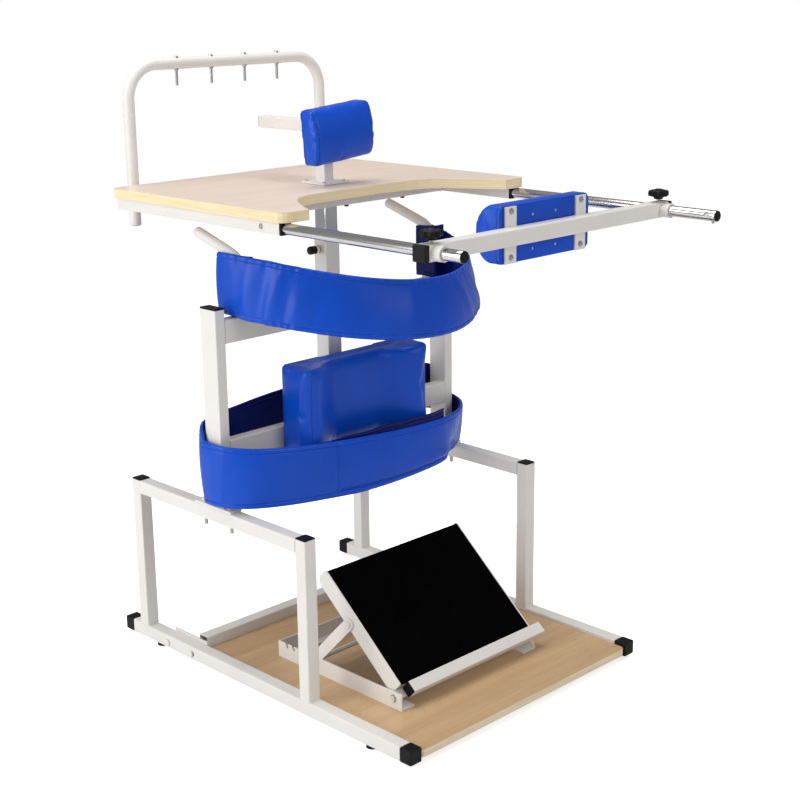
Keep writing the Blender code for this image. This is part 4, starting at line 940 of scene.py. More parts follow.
@dataclass
class HipBelt:
    """The belt that hangs in a bow behind the hips, each end sewn to an upright sleeve round a handle."""

    upper_bar: float = 0.795
    thickness: float = 0.010
    sleeve_x: tuple[float, float] = (0.2640, 0.2925)
    sleeve_front: float = 0.1465
    sleeve_rear: tuple[float, float] = (0.2156, 0.2076)
    sleeve_z: tuple[float, float] = (0.7965, 0.9165)
    rows: int = 361

    def belt(self) -> Belt:
        """The bow: edge lines worked out from five control points, with the creases of hung vinyl."""
        t = np.linspace(0.0, 1.0, self.rows)
        points = [(-0.296, 0.128), (-0.296, -0.165), (0.0, -0.247), (0.298, -0.180), (0.296, 0.120)]
        plan = bernstein(points, t)
        level = bernstein([0.923, 0.928, 0.800, 0.861, 0.916], t)
        height = bernstein([0.134, 0.124, 0.114, 0.122, 0.129], t)
        out = unit(plan - plan[:: self.rows // 40].mean(axis=0))
        flare = 0.024 * np.sin(np.pi * t) ** 0.8 + 0.020 * bell(t, 0.80, 0.07)
        over_bar = np.clip((plan[:, 1] - 0.045) / 0.025, 0.0, 1.0)
        bottom = level - height
        bottom = np.maximum(bottom, self.upper_bar * over_bar + bottom * (1 - over_bar))
        shifted = plan + ROW_SHIFT[:2]
        upper = np.column_stack([shifted, level])
        lower = np.column_stack([shifted + out * flare[:, None], bottom])
        folds = (
            (0.085, 0.016, 0.0036, 0.10, 0.00),
            (0.118, 0.014, -0.0038, 0.16, 0.01),
            (0.150, 0.015, 0.0038, 0.22, -0.01),
            (0.178, 0.014, -0.0028, 0.10, -0.03, 0.05),
            (0.215, 0.024, 0.0038, 0.30, -0.02, 0.06),
            (0.250, 0.016, -0.0026, 0.45, -0.03, 0.05),
            (0.300, 0.027, 0.0020, -0.30, -0.04, 0.03),
            (0.455, 0.020, 0.0024, 0.10, 0.00),
            (0.505, 0.024, -0.0018, -0.20, 0.01),
            (0.640, 0.014, 0.0036, -0.60, -0.01, 0.06),
            (0.690, 0.010, -0.0042, -0.75, -0.01, 0.06),
            (0.730, 0.010, 0.0045, -0.85, -0.02, 0.05),
            (0.770, 0.010, -0.0039, -0.80, -0.02, 0.05),
            (0.835, 0.014, 0.0039, -0.60, 0.00, 0.05),
            (0.900, 0.012, -0.0033, -0.50, 0.01, 0.05),
        )
        creases = [Crease(*fold) for fold in folds]
        sideways = np.column_stack([out, np.zeros(len(out))])
        return Belt(upper, lower, sideways, t, self.thickness, 0.004, False, creases, extra=self._puckers)

    @staticmethod
    def _puckers(t: Array, h: Array, half: Array) -> Array:
        """Small gathers along both hems: 1.1 mm waves that fade 18 mm into the face."""
        near = bell(half - np.abs(h), 0.004, 0.010)
        waves = np.sin(t * 310.0 + 2.5 * np.sin(t * 41.0)) + 0.6 * np.sin(t * 173.0 + h * 60.0)
        calm = 0.35 + 0.65 * (bell(t, 0.15, 0.16) + bell(t, 0.78, 0.14))
        return 0.0011 * waves * near * calm

    def sleeve(self, side: float, rear: float) -> Shell:
        """The sleeve round a handle: a strip in a U, from the belt inwards, along the grip and back out.

        Its plan is a half-rectangle with corners of 6 mm, its upper edge sags by 10 mm and its lower edge
        waves a little. Its outside is what the sewn end shows, so its faces swap their finishes: that outside
        takes the dark navy painted as shade.
        """
        inner, outer = self.sleeve_x
        r, front = 0.006, self.sleeve_front
        corners = [bow((inner + r, front + r), r, 270.0, 180.0, 9)]
        corners.append(bow((inner + r, rear - r), r, 180.0, 90.0, 9))
        path = even(np.vstack([[outer, front], *corners, [outer, rear]]), 0.0015)
        t = np.linspace(0.0, 1.0, len(path))
        out = unit(path - np.array([outer, (front + rear) / 2]))
        path_x = side * (path[:, 0] + 0.0009 * np.sin(t * 21.0))
        upper = np.column_stack([path_x, path[:, 1], self.sleeve_z[1] - 0.010 * t**2])
        lower = np.column_stack([path_x, path[:, 1], self.sleeve_z[0] + 0.0015 * np.sin(t * 9.0) ** 2])
        sideways = np.column_stack([side * out[:, 0], out[:, 1], np.zeros(len(out))])
        made = Belt(upper, lower, sideways, t, 0.0034, hem=0.0075).shell()
        # painted shade: the sleeve's outside takes the dark navy
        made.shade_painted = ~made.shade_painted
        return made

    def build(self) -> list[Object]:
        """Makes the belt with both its sleeves."""
        sleeves = [self.sleeve(side, rear) for side, rear in zip(SIDES, self.sleeve_rear)]
        # painted shade: the dark navy goes on the belt's inner face and on the sleeves' outsides
        covers = {VINYL: [self.belt().shell(), *sleeves], PAINTED_SHADE_NAVY: []}
        obj = make("hip_belt_cover", Body.BASE, covers, ["hip_belt"], 60.0)
        return [obj]


@dataclass
class KneeBelt:
    """The closed belt: behind both posts, round them and in a low bow in front of the knees."""

    thickness: float = 0.009
    rail_top: float = 0.3885
    flap: tuple[float, float] = (0.276, 0.500)
    tail: tuple[float, float] = (0.238, 0.512)

    def belt(self) -> Belt:
        """The loop's edge lines: a bow in front, tight corners and a raised run behind the posts."""
        t = np.linspace(0.0, 1.0, 421)
        points = [(-0.358, 0.113), (-0.3742, -0.082), (-0.010, -0.005), (0.352, -0.095), (0.358, 0.109)]
        front = bernstein(points, t)
        level = bernstein([0.536, 0.530, 0.507, 0.470, 0.502], t)
        height = bernstein([0.138, 0.122, 0.118, 0.116, 0.115], t)
        out = unit(front - np.array([0.0, 0.080]))
        flare = 0.012 * np.sin(np.pi * t) ** 1.5 - 0.042 * bell(t, 0.82, 0.075)
        over_rail = np.clip((front[:, 1] - 0.025) / 0.020, 0.0, 1.0)
        bottom = np.maximum(level - height, self.rail_top + 0.0092 * over_rail)
        corner = np.array([(0.3575, 0.1240), (0.3545, 0.1350), (0.3470, 0.1407), (0.3320, 0.1425)])
        across = np.linspace(0.30, -0.30, 13)
        bowed = 0.1428 + 0.0140 * (1 - np.minimum(1.0, np.abs(across) / 0.26) ** 2)
        back = np.vstack([corner, np.column_stack([across, bowed]), corner[::-1] * (-1.0, 1.0)])
        back_upper = self._back_edge(back, front, level, 0.596)
        back_lower = self._back_edge(back, front, bottom, 0.484)
        upper = np.vstack([np.column_stack([front, level]), back_upper])
        lower = np.vstack([np.column_stack([front + out * flare[:, None], bottom]), back_lower])
        outward = np.column_stack([self._outward((upper + lower)[:, :2] / 2), np.zeros(len(upper))])
        share = np.concatenate([t * 0.7, np.linspace(0.7, 1.0, len(back_upper) + 2)[1:-1]])
        folds = (
            (0.045, 0.010, 0.0018, 0.05),
            (0.110, 0.020, 0.0014, 0.20, 0.02, 0.05),
            (0.235, 0.018, -0.0010, -0.20),
            (0.560, 0.010, 0.0016, -0.30, -0.02, 0.05),
            (0.600, 0.009, -0.0018, -0.35, -0.02, 0.05),
            (0.660, 0.012, 0.0016, -0.20),
            (0.800, 0.016, 0.0014, 0.10),
            (0.900, 0.016, -0.0014, -0.10),
        )
        creases = [Crease(*fold) for fold in folds]
        edges = (upper + ROW_SHIFT, lower + ROW_SHIFT)
        return Belt(*edges, outward, share, self.thickness, 0.003, True, creases, extra=self._flap)

    @staticmethod
    def _outward(plan: Array) -> Array:
        """The plan line's own normals: its tangent, taken round the loop over 8 points, turned outwards."""
        tangent = unit(np.roll(plan, -4, axis=0) - np.roll(plan, 4, axis=0))
        normal = np.column_stack([-tangent[:, 1], tangent[:, 0]])
        flip = np.sign(np.sum(normal * (plan - np.array([0.0, 0.1])), axis=1, keepdims=True))
        return normal * np.where(flip == 0, 1.0, flip)

    @staticmethod
    def _back_edge(plan: Array, front: Array, height: Array, raised: float) -> Array:
        """An edge of the run behind the posts, about 6 mm a point: from the front's ends up to its level."""
        rise = np.sin(np.linspace(0.0, np.pi, len(plan))) ** 0.45
        side = np.linspace(height[-1], height[0], len(plan))
        edge = np.column_stack([plan, side + (raised - side) * rise])
        line = np.vstack([(*front[-1], height[-1]), edge, (*front[0], height[0])])
        run = running(line[:, :2])
        return at_marks(line, run, np.linspace(0.0, run[-1], 140)[1:-1])

    def inner_tail(self, belt: Belt) -> Shell:
        """The belt's own end inside the bow: a strip 3 mm thick that climbs 18 mm past the edge, all in dark
        navy painted as shade.
        """
        rows = (belt.t >= self.tail[0]) & (belt.t <= self.tail[1])
        t, out = belt.t[rows], unit(belt.out[rows])
        upper = belt.upper[rows] - out * 0.0052
        lower = upper + (belt.lower[rows] - belt.upper[rows]) * 0.25
        upper[:, 2] += 0.018 * smooth_step(self.tail[0] - 0.01, 0.42, t) + 0.001 * np.sin(t * 90.0)
        made = Belt(upper, lower, out, t, 0.0030, hem=0.0085).shell()
        # painted shade: the whole tail takes the dark navy of its cover
        made.shade_painted = None
        return made

    def _flap(self, t: Array, h: Array, half: Array) -> Array:
        """The fastening flap: 2 mm proud between two places, 15 mm in from the lower edge, with a groove."""
        start, end = self.flap
        along = smooth_step(start, start + 0.0030, t) * (1 - smooth_step(end, end + 0.0030, t))
        low = smooth_step(0.0135, 0.0165, half + h) * smooth_step(0.004, 0.006, half - h)
        groove = np.maximum(bell(t, start - 0.0020, 0.0026) * low, bell(half + h, 0.0128, 0.0012) * along)
        return 0.0020 * along * low - 0.0024 * groove

    def build(self) -> list[Object]:
        """Makes the belt with its flap and its tail."""
        belt = self.belt()
        # painted shade: the dark navy goes on the belt's inner face and on the whole tail
        covers = {VINYL: [belt.shell()], PAINTED_SHADE_NAVY: [self.inner_tail(belt)]}
        obj = make("knee_belt_cover", Body.BASE, covers, ["knee_belt"], 60.0)
        return [obj]


# Frame


@dataclass
class BaseFrame:
    """The two side frames with the platform and the cross rail: plugs, bolts and welds."""

    side_x: float = 0.335
    tube: float = 0.030
    top: float = 0.3865
    front_y: float = -0.0700
    rear_y: float = 0.4831
    rail_top: float = 0.038
    bolt_x: float = 0.3501
    bolt_y: tuple[float, float] = (0.3965, 0.3060)
    bolt_z: float = 0.0215
    bead: float = 0.0004

    def plugs(self) -> list[Shell]:
        """Black plugs pressed into the four uprights' tops: a square outline stacked to a low crown."""
        outline = square(0.0146, 0.0146, 0.0026)
        steps = [(0.0, 1.0), (0.0016, 1.0), (0.0024, 0.965), (0.0027, 0.88), (0.0029, 0.4), (0.0029, 0.01)]
        spots = [(side * self.side_x, y) for side in SIDES for y in (self.front_y, self.rear_y)]
        return [turned(steps, (x, y, self.top + 0.0001), Z_AXIS, outline) for x, y in spots]

    def bolts(self) -> list[Shell]:
        """The bolts that hold the cross rail's end plates to the bottom rails."""
        spots = [((side * self.bolt_x, y, self.bolt_z), side * X_AXIS) for side in SIDES for y in self.bolt_y]
        return RAIL_BOLT.at(*spots)

    def welds(self) -> list[Shell]:
        """Beads across the uprights' front and rear, at the bottom rail and inside the top rail's span."""
        reach, inset = self.tube / 2 + self.bead, self.tube / 2 - 0.002
        low, high = self.rail_top + 0.0006, self.top - self.tube - 0.0006
        seams = [(y + step, low) for y in (self.front_y, self.rear_y) for step in (-reach, reach)]
        seams += [(self.front_y + reach, high), (self.rear_y - reach, high)]
        middles = [side * self.side_x for side in SIDES]
        return [weld((x - inset, y, z), (x + inset, y, z)) for x in middles for y, z in seams]

    def build(self) -> list[Object]:
        """Dresses the CAD nodes and adds the fittings."""
        dress(WHITE, "bottom_rail_", "front_upright_", "rear_upright_", "top_rail_", "rear_cross_rail")
        dress(PLASTIC, "rail_cap_")
        dress(RUBBER, "floor_pad_")
        dress(BEECH, "platform")
        return [
            make("upright_plugs", Body.BASE, {PLASTIC: self.plugs()}),
            make("cross_rail_bolts", Body.BASE, {ZINC: self.bolts()}),
            make("side_frame_welds", Body.BASE, {WHITE: self.welds()}),
        ]


@dataclass
class Footboard:
    """The tilting footboard on its racks, with the heel stop and the prop."""

    middle_x: float = -0.0285
    hinge: tuple[float, float] = (-0.2115, 0.0523)
    pivot: tuple[float, float] = (-0.0772, 0.1718)
    tilt: float = 40.7
    stop_along: float = -0.00155
    stop_off: float = 0.02025
    stop_ends: tuple[float, float] = (-0.205, 0.202)
    bar_reach: float = 0.1997
    hinge_ends: tuple[float, float] = (-0.2352, 0.1782)
    screw_x: tuple[float, float] = (-0.207, 0.150)
    screw_y: tuple[float, float, float] = (-0.120, 0.010, 0.090)
    screw_z: float = 0.0334

    def stop_end_shade(self) -> list[Shell]:
        """Black plugs in the heel stop's two ends, tilted with the board: painted shade, standing in for the
        dark inside of the open tube ends.
        """
        a = math.radians(self.tilt)
        along = np.array([0.0, math.cos(a), math.sin(a)])
        off = np.array([0.0, -math.sin(a), math.cos(a)])
        middle = np.array([0.0, *self.hinge]) + along * self.stop_along + off * self.stop_off
        steps = [(-0.002, 0.98), (0.0014, 0.98), (0.0022, 0.94), (0.0024, 0.6), (0.0024, 0.01)]
        outline = square(0.0125, 0.0125, 0.0022)
        ends = zip(SIDES, self.stop_ends)
        return [turned(steps, middle + X_AXIS * x, side * X_AXIS, outline, along) for side, x in ends]

    def board_bolts(self) -> list[Shell]:
        """The bolts that the prop swings on, one in each side bar."""
        spots = [((self.middle_x + side * self.bar_reach, *self.pivot), side * X_AXIS) for side in SIDES]
        return PROP_BOLT.at(*spots)

    def rack_bolts(self) -> list[Shell]:
        """The hinge bolts in the racks, and the screws that hold the racks to the platform."""
        hinges = [((x, *self.hinge), side * X_AXIS) for side, x in zip(SIDES, self.hinge_ends)]
        screws = [((x, y, self.screw_z), Z_AXIS) for x in self.screw_x for y in self.screw_y]
        made = HINGE_BOLT.at(*hinges)
        return made + RACK_SCREW.at(*screws)

    def build(self) -> list[Object]:
        """Dresses the CAD nodes and adds the fittings."""
        dress(WHITE, "rack_", "tilt_frame", "heel_stop", "prop_frame")
        dress(MAT, "foot_plate")
        return [
            # painted shade: black plugs stand in for the dark inside of the heel stop's open ends
            make("heel_stop_end_shade", Body.BOARD_FRAME, {PLASTIC: self.stop_end_shade()}),
            make("prop_bolts", Body.BOARD_FRAME, {ZINC: self.board_bolts()}),
            make("rack_bolts", Body.BASE, {ZINC: self.rack_bolts()}),
        ]


@dataclass
class Support:
    """The two posts, their shoes and crossbars, the column and its lock pin."""

    post_x: float = 0.335
    post_y: float = 0.1972
    post_top: float = 0.8130
    bars: tuple[float, float] = (0.5365, 0.7910)
    handle_x: float = 0.2766
    pin: tuple[float, float, float] = (-0.0206, 0.2175, 0.892)
    shoe_y: tuple[float, float] = (0.1640, 0.2505)
    shoe_z: float = 0.3562
    bar_end: float = 0.3217
    column_side: float = 0.0204
    bar_rear: float = 0.1975

    def caps(self) -> list[Shell]:
        """Black caps on the posts: a rectangular outline stacked to a low crown."""
        outline = square(0.0127, 0.0252, 0.0024)
        steps = [(-0.0002, 1.0), (0.0020, 1.0), (0.0029, 0.97), (0.0032, 0.88), (0.0033, 0.02)]
        places = [(side * self.post_x, self.post_y, self.post_top + 0.0004) for side in SIDES]
        return [turned(steps, place, Z_AXIS, outline) for place in places]

    def bolts(self) -> list[Shell]:
        """The shoes' nuts below the top rails, and the bolt ends that stick out of them."""
        places = [(side * self.post_x, y, self.shoe_z) for side in SIDES for y in self.shoe_y]
        nuts = SHOE_NUT.at(*((place, -Z_AXIS) for place in places))
        stem = [(0.003, 0.0040), (0.0182, 0.0040), (0.0186, 0.0032), (0.0187, 0.0001)]
        return nuts + [turned(stem, place, -Z_AXIS) for place in places]

    def welds(self) -> list[Shell]:
        """Beads where the crossbars meet the posts and the column, and round the handles' feet."""
        made: list[Shell] = []
        for side in SIDES:
            for top in self.bars:
                x, edge, y = side * self.bar_end, side * self.column_side, self.bar_rear
                made.append(weld((x, y - 0.023, top + 0.0003), (x, y - 0.0025, top + 0.0003)))
                made.append(weld((x, y, top - 0.002), (x, y, top - 0.048)))
                made.append(weld((edge, y - 0.0001, top - 0.003), (edge, y - 0.0001, top - 0.047)))
            x, z = side * self.handle_x, self.bars[1] + 0.0004
            made += [weld((x - 0.005, y, z), (x + 0.005, y, z), 0.0014) for y in (0.1737, 0.1957)]
        return made

    def pin_nut(self) -> Shell:
        """The lock nut round the lock pin's barrel, on the column's left face."""
        steps = [(0.0, 0.0098), (0.0050, 0.0098), (0.0058, 0.0090), (0.0062, 0.0078), (0.0062, 0.0070)]
        return turned([*steps, (0.0, 0.0070)], self.pin, -X_AXIS, HEXAGON, ring=True)

    def build(self) -> list[Object]:
        """Dresses the CAD nodes and adds the fittings."""
        dress(WHITE, "post_", "lower_crossbar", "upper_crossbar", "outer_column")
        dress(PLASTIC, "lock_pin")
        return [
            make("post_caps", Body.BASE, {PLASTIC: self.caps()}),
            make("shoe_bolts", Body.BASE, {ZINC: self.bolts()}),
            make("post_frame_welds", Body.BASE, {WHITE: self.welds()}),
            make("pin_lock_nut", Body.BASE, {ZINC: [self.pin_nut()]}),
        ]


@dataclass
class Handle:
    """A round handle that rises from the upper crossbar and bends back into a sloping grip."""

    side: str
    sign: float
    radius: float = 0.011
    offset: float = 0.2766

    def line(self) -> Array:
        """The middle line: off the crossbar, up, round a bend of 60 mm and along a slope of 17 degrees."""
        bend = bow((0.2209, 0.8620), 0.060, 180.0, 107.0, 14)
        foot = [(0.1847, 0.7913), (0.1847, 0.7990), (0.1838, 0.8030), (0.1618, 0.8350), (0.1609, 0.8400)]
        flat = np.vstack([foot, bend, [0.308, 0.9514]])
        return even(np.column_stack([np.full(len(flat), self.sign * self.offset), flat]), 0.0045)

    def build(self) -> list[Object]:
        """Makes the handle with a plug in its free end and a lip round it."""
        path = self.line()
        way = unit(path[-1] - path[-2])
        plug = [(-0.0035, 0.0068), (-0.0020, 0.0070), (0.0006, 0.0066), (0.0014, 0.0048), (0.0016, 0.0001)]
        lip = [(-0.0012, 0.0070), (-0.0012, 0.0104), (0.0009, 0.0105), (0.0013, 0.0098), (0.0008, 0.0070)]
        covers = {
            WHITE: [tube(path, X_AXIS, self.radius, 0.0015), turned(plug, path[-1], way)],
            PLASTIC: [turned(lip, path[-1], way, ring=True)],
        }
        return [make("handle_tube_" + self.side, Body.BASE, covers, ["handle_" + self.side])]


@dataclass
class Table:
    """The height-adjusting table: its board, rails, column and small screws."""

    rail_x: float = 0.3406
    under: float = 0.9873
    top: float = 1.0379
    weld_x: float = 0.3148
    rails: tuple[tuple[float, float], ...] = ((0.1722, 0.1972), (0.4755, 0.5005))
    post: tuple[float, float, float, float] = (-0.0130, 0.0130, 0.2050, 0.2300)
    rail_screw_y: float = 0.0247
    flange_x: tuple[float, float] = (-0.028, 0.028)
    flange_y: tuple[float, float] = (0.1895, 0.2455)
    board_x: tuple[float, float, float] = (-0.200, 0.030, 0.200)
    board_y: float = 0.1847

    def screws(self) -> list[Shell]:
        """Screws in the rails' outer faces and in the chest post's flange."""
        outer = [((side * self.rail_x, self.rail_screw_y, SLIDE_Z), side * X_AXIS) for side in SIDES]
        flange = [((x, y, self.top), Z_AXIS) for x in self.flange_x for y in self.flange_y]
        made = RAIL_SCREW.at(*outer)
        return made + FLANGE_SCREW.at(*flange)

    def board_screws(self) -> list[Shell]:
        """The screws that go up through the front cross rail into the board."""
        spots = [((x, self.board_y, self.under - 0.0001), -Z_AXIS) for x in self.board_x]
        return BOARD_SCREW.at(*spots)

    def welds(self) -> list[Shell]:
        """Beads where the cross rails meet the side rails and the chest post its flange."""
        made: list[Shell] = []
        low, high = self.under + 0.002, self.under + 0.023
        for front, rear in self.rails:
            for x in (side * self.weld_x for side in SIDES):
                made += [weld((x, y, low), (x, y, high), 0.0016) for y in (front, rear)]
                made.append(weld((x, front + 0.002, self.under), (x, rear - 0.002, self.under), 0.0016))
        x0, x1, y0, y1 = self.post
        z = self.top + 0.0004
        for y in (y0 - 0.0003, y1 + 0.0003):
            made.append(weld((x0 - 0.0005, y, z), (x1 + 0.0005, y, z), 0.0017))
        return made + [weld((x, y0, z), (x, y1, z), 0.0017) for x in (x0, x1)]

    def build(self) -> list[Object]:
        """Dresses the CAD nodes and adds the fittings."""
        dress(WHITE, "table_rail_", "table_cross_", "chest_post")
        dress(STEEL, "inner_column")
        dress(PLASTIC, "guide_bush_")
        dress(PALE, "table_top")
        return [
            make("table_screws", Body.TABLE, {ZINC: self.screws()}),
            make("cross_rail_screws", Body.TABLE, {PLASTIC: self.board_screws()}),
            make("table_welds", Body.TABLE, {WHITE: self.welds()}),
        ]


@dataclass
class Arch:
    """The round-tube arch behind the table, with four hanging pegs through its top."""

    radius: float = 0.0125
    half: float = 0.273
    y: float = 0.5355
    foot: float = 0.9418
    top: float = 1.281
    bend: float = 0.072
    pegs: tuple[float, ...] = (-0.143, -0.0475, 0.0475, 0.143)
    rail_y: float = 0.5010

    def line(self) -> Array:
        """The middle line: up one leg, round two quarter bends of 72 mm and down the other."""
        x, z = self.half - self.bend, self.top - self.bend
        left, right = bow((-x, z), self.bend, 180.0, 90.0, 20), bow((x, z), self.bend, 90.0, 0.0, 20)
        flat = np.vstack([[-self.half, self.foot], left, right, [self.half, self.foot]])
        return even(np.column_stack([flat[:, 0], np.full(len(flat), self.y), flat[:, 1]]), 0.0060)

    def build(self) -> list[Object]:
        """Makes the arch, its pegs and the bolts that hold its legs."""
        legs = [side * self.half for side in SIDES]
        plug = [(0.003, 0.0108), (0.0002, 0.0109), (-0.0010, 0.0104), (-0.0016, 0.0080), (-0.0017, 0.0001)]
        spacer = [(0.0, 0.0078), (0.0220, 0.0078)]
        stem = [(-0.0480, 0.0003), (-0.0478, 0.0022), (-0.0468, 0.0030), (0.0, 0.0030)]
        bolts = [((x, self.y + self.radius - 0.0014, SLIDE_Z), Y_AXIS) for x in legs]
        nuts = [((x, self.y, self.top - self.radius + 0.0004), -Z_AXIS) for x in self.pegs]
        nuts += [((x, self.y, self.top + self.radius - 0.0006), Z_AXIS) for x in self.pegs]
        covers = {
            WHITE: [
                tube(self.line(), Y_AXIS, self.radius, 0.0015, 32),
                *(turned(spacer, (x, self.rail_y, SLIDE_Z), Y_AXIS) for x in legs),
            ],
            ZINC: [
                *ARCH_BOLT.at(*bolts),
                *(turned(stem, (x, self.y, self.top), Z_AXIS) for x in self.pegs),
                *PEG_NUT.at(*nuts),
            ],
            PLASTIC: [turned(plug, (x, self.y, self.foot), Z_AXIS) for x in legs],
        }
        return [make("arch_tube", Body.TABLE, covers, ["arch"])]


@dataclass
class ChestRest:
    """The sliding arm above the table and the pad on its front."""

    pad: Cushion
    arm_end: tuple[float, float, float] = (0.0, 0.4185, 1.1527)

    def build(self) -> list[Object]:
        """Dresses the arm and makes its pad and its rear plug."""
        dress(WHITE, "chest_arm")
        steps = [(0.0001, 1.0), (0.0014, 1.0), (0.0022, 0.95), (0.0024, 0.6), (0.0024, 0.01)]
        plug = turned(steps, self.arm_end, Y_AXIS, square(0.0121, 0.0121, 0.0016))
        return [*self.pad.build(), make("chest_arm_plug", Body.CHEST_REST, {PLASTIC: [plug]})]


@dataclass
class SlideTube:
    """A chrome tube that slides in its table rail and carries the back rest."""

    side: str
    body: Body
    x: float
    front: float
    rear: float
    radius: float = 0.011

    def button(self) -> list[Shell]:
        """The snap button in its ring near the front end, and the small stop under that end."""
        way = unit(np.array([-0.93, 0.0, 0.37]))
        spot = np.array([self.x, self.front + 0.0185, SLIDE_Z]) + way * self.radius
        ring = [(-0.0004, 0.0052), (0.0006, 0.0050), (0.0008, 0.0040)]
        button = [(-0.002, 0.0034), (0.0008, 0.0034), (0.0016, 0.0026), (0.0019, 0.0001)]
        stop = [(-0.001, 0.0030), (0.0030, 0.0030), (0.0042, 0.0018), (0.0043, 0.0001)]
        below = (self.x, self.front + 0.0085, SLIDE_Z - self.radius)
        return [turned(ring, spot, way), turned(button, spot, way), turned(stop, below, -Z_AXIS)]

    def build(self) -> list[Object]:
        """Makes the tube, the black plugs in its ends and the right one's stop button."""
        y = np.linspace(self.front, self.rear, 60)
        path = np.column_stack([np.full(60, self.x), y, np.full(60, SLIDE_Z)])
        plug = [(-0.010, 0.0094), (0.0, 0.0096), (0.0001, 0.0107)]
        plug += [(0.0014, 0.0107), (0.0022, 0.0098), (0.0025, 0.0001)]
        ends = ((self.front, -Y_AXIS), (self.rear, Y_AXIS))
        covers = {
            CHROME: [tube(path, Z_AXIS, self.radius, 0.0013, 40)],
            PLASTIC: [turned(plug, (self.x, end, SLIDE_Z), way, polar(32)) for end, way in ends],
            ZINC: self.button() if self.side == "right" else [],
        }
        return [make("slide_tube_skin_" + self.side, self.body, covers, ["slide_tube_" + self.side])]


@dataclass
class ClampKnob:
    """A lobed hand knob whose screw bears on the sliding tube."""

    side: str
    body: Body
    x: float
    y: float = -0.4155
    seat: float = 1.0148
    radius: float = 0.0208
    lobes: int = 8
    lobe_depth: float = 0.13

    def build(self) -> list[Object]:
        """Makes the knob, its lobes fading into the neck and the dome, and the zinc screw below.

        Each step is (height, share of the radius, share of the lobes), and the outline at a step is
        1 - depth * (1 - cos(lobes * a)) / 2.
        """
        steps = np.array(
            [(0.0062, 0.30, 0.0), (0.0064, 0.42, 0.0), (0.0100, 0.46, 0.1), (0.0118, 0.82, 0.7)]
            + [(0.0124, 0.94, 1.0), (0.0138, 1.00, 1.0), (0.0205, 1.00, 1.0), (0.0226, 0.95, 1.0)]
            + [(0.0236, 0.84, 0.7), (0.0241, 0.62, 0.2), (0.0239, 0.50, 0.0), (0.0243, 0.42, 0.0)]
            + [(0.0262, 0.34, 0.0), (0.0264, 0.18, 0.0), (0.0264, 0.004, 0.0)]
        )
        depths = self.lobe_depth * steps[:, 2] / 2.0
        outlines = [polar(96, lambda a: 1.0 - depth * (1.0 - np.cos(self.lobes * a))) for depth in depths]
        place = (self.x, self.y, self.seat)
        screw = [(-0.0037, 0.0001), (-0.0036, 0.0034), (0.0070, 0.0036), (0.0072, 0.0002)]
        covers = {
            PLASTIC: [turned(steps[:, :2] * (1.0, self.radius), place, Z_AXIS, np.stack(outlines))],
            ZINC: [turned(screw, place, Z_AXIS)],
        }
        return [make("clamp_knob_grip_" + self.side, self.body, covers, ["clamp_knob_" + self.side], 50.0)]


@dataclass
class BackRest:
    """The bar across the two sliding tubes, with its pad on two straps."""

    pad: Cushion
    strap_x: float = 0.101
    strap_face: float = -0.3990
    pad_back: float = -0.3952
    strap_ends: tuple[float, float] = (1.0425, 0.9575)
    stud_x: tuple[float, float] = (-0.036, 0.030)
    stud_z: tuple[float, float] = (1.0300, 0.9660)
    bar_edges: tuple[float, float] = (1.0152, 0.9844)

    def bolts(self) -> list[Shell]:
        """The bolts through the straps' ends into the pad's board."""
        places = [(side * self.strap_x, self.strap_face, z) for side in SIDES for z in self.strap_ends]
        return STRAP_BOLT.at(*((place, -Y_AXIS) for place in places))

    def studs(self) -> list[Shell]:
        """Four small studs in the pad's back, two above the bar and two below."""
        stud = [(-0.0008, 0.0026), (0.0003, 0.0026), (0.0010, 0.0018), (0.0012, 0.0001)]
        places = [(x, self.pad_back - 0.0001, z) for x in self.stud_x for z in self.stud_z]
        return [turned(stud, place, -Y_AXIS, polar(14)) for place in places]

    def welds(self) -> list[Shell]:
        """Beads between the bar and its straps."""
        spots = [(side * self.strap_x, z) for side in SIDES for z in self.bar_edges]
        y = self.strap_face - 0.0003
        return [weld((x - 0.0140, y, z), (x + 0.0140, y, z), 0.0015) for x, z in spots]

    def build(self) -> list[Object]:
        """Dresses the bar and makes everything on it."""
        dress(WHITE, "back_bar")
        dress(PLASTIC, "bar_cap_")
        return [
            *self.pad.build(),
            make("strap_bolts", Body.BACK_REST, {ZINC: self.bolts()}),
            make("pad_studs", Body.BACK_REST, {ZINC: self.studs()}),
            make("back_bar_welds", Body.BACK_REST, {WHITE: self.welds()}),
        ]


# Studio


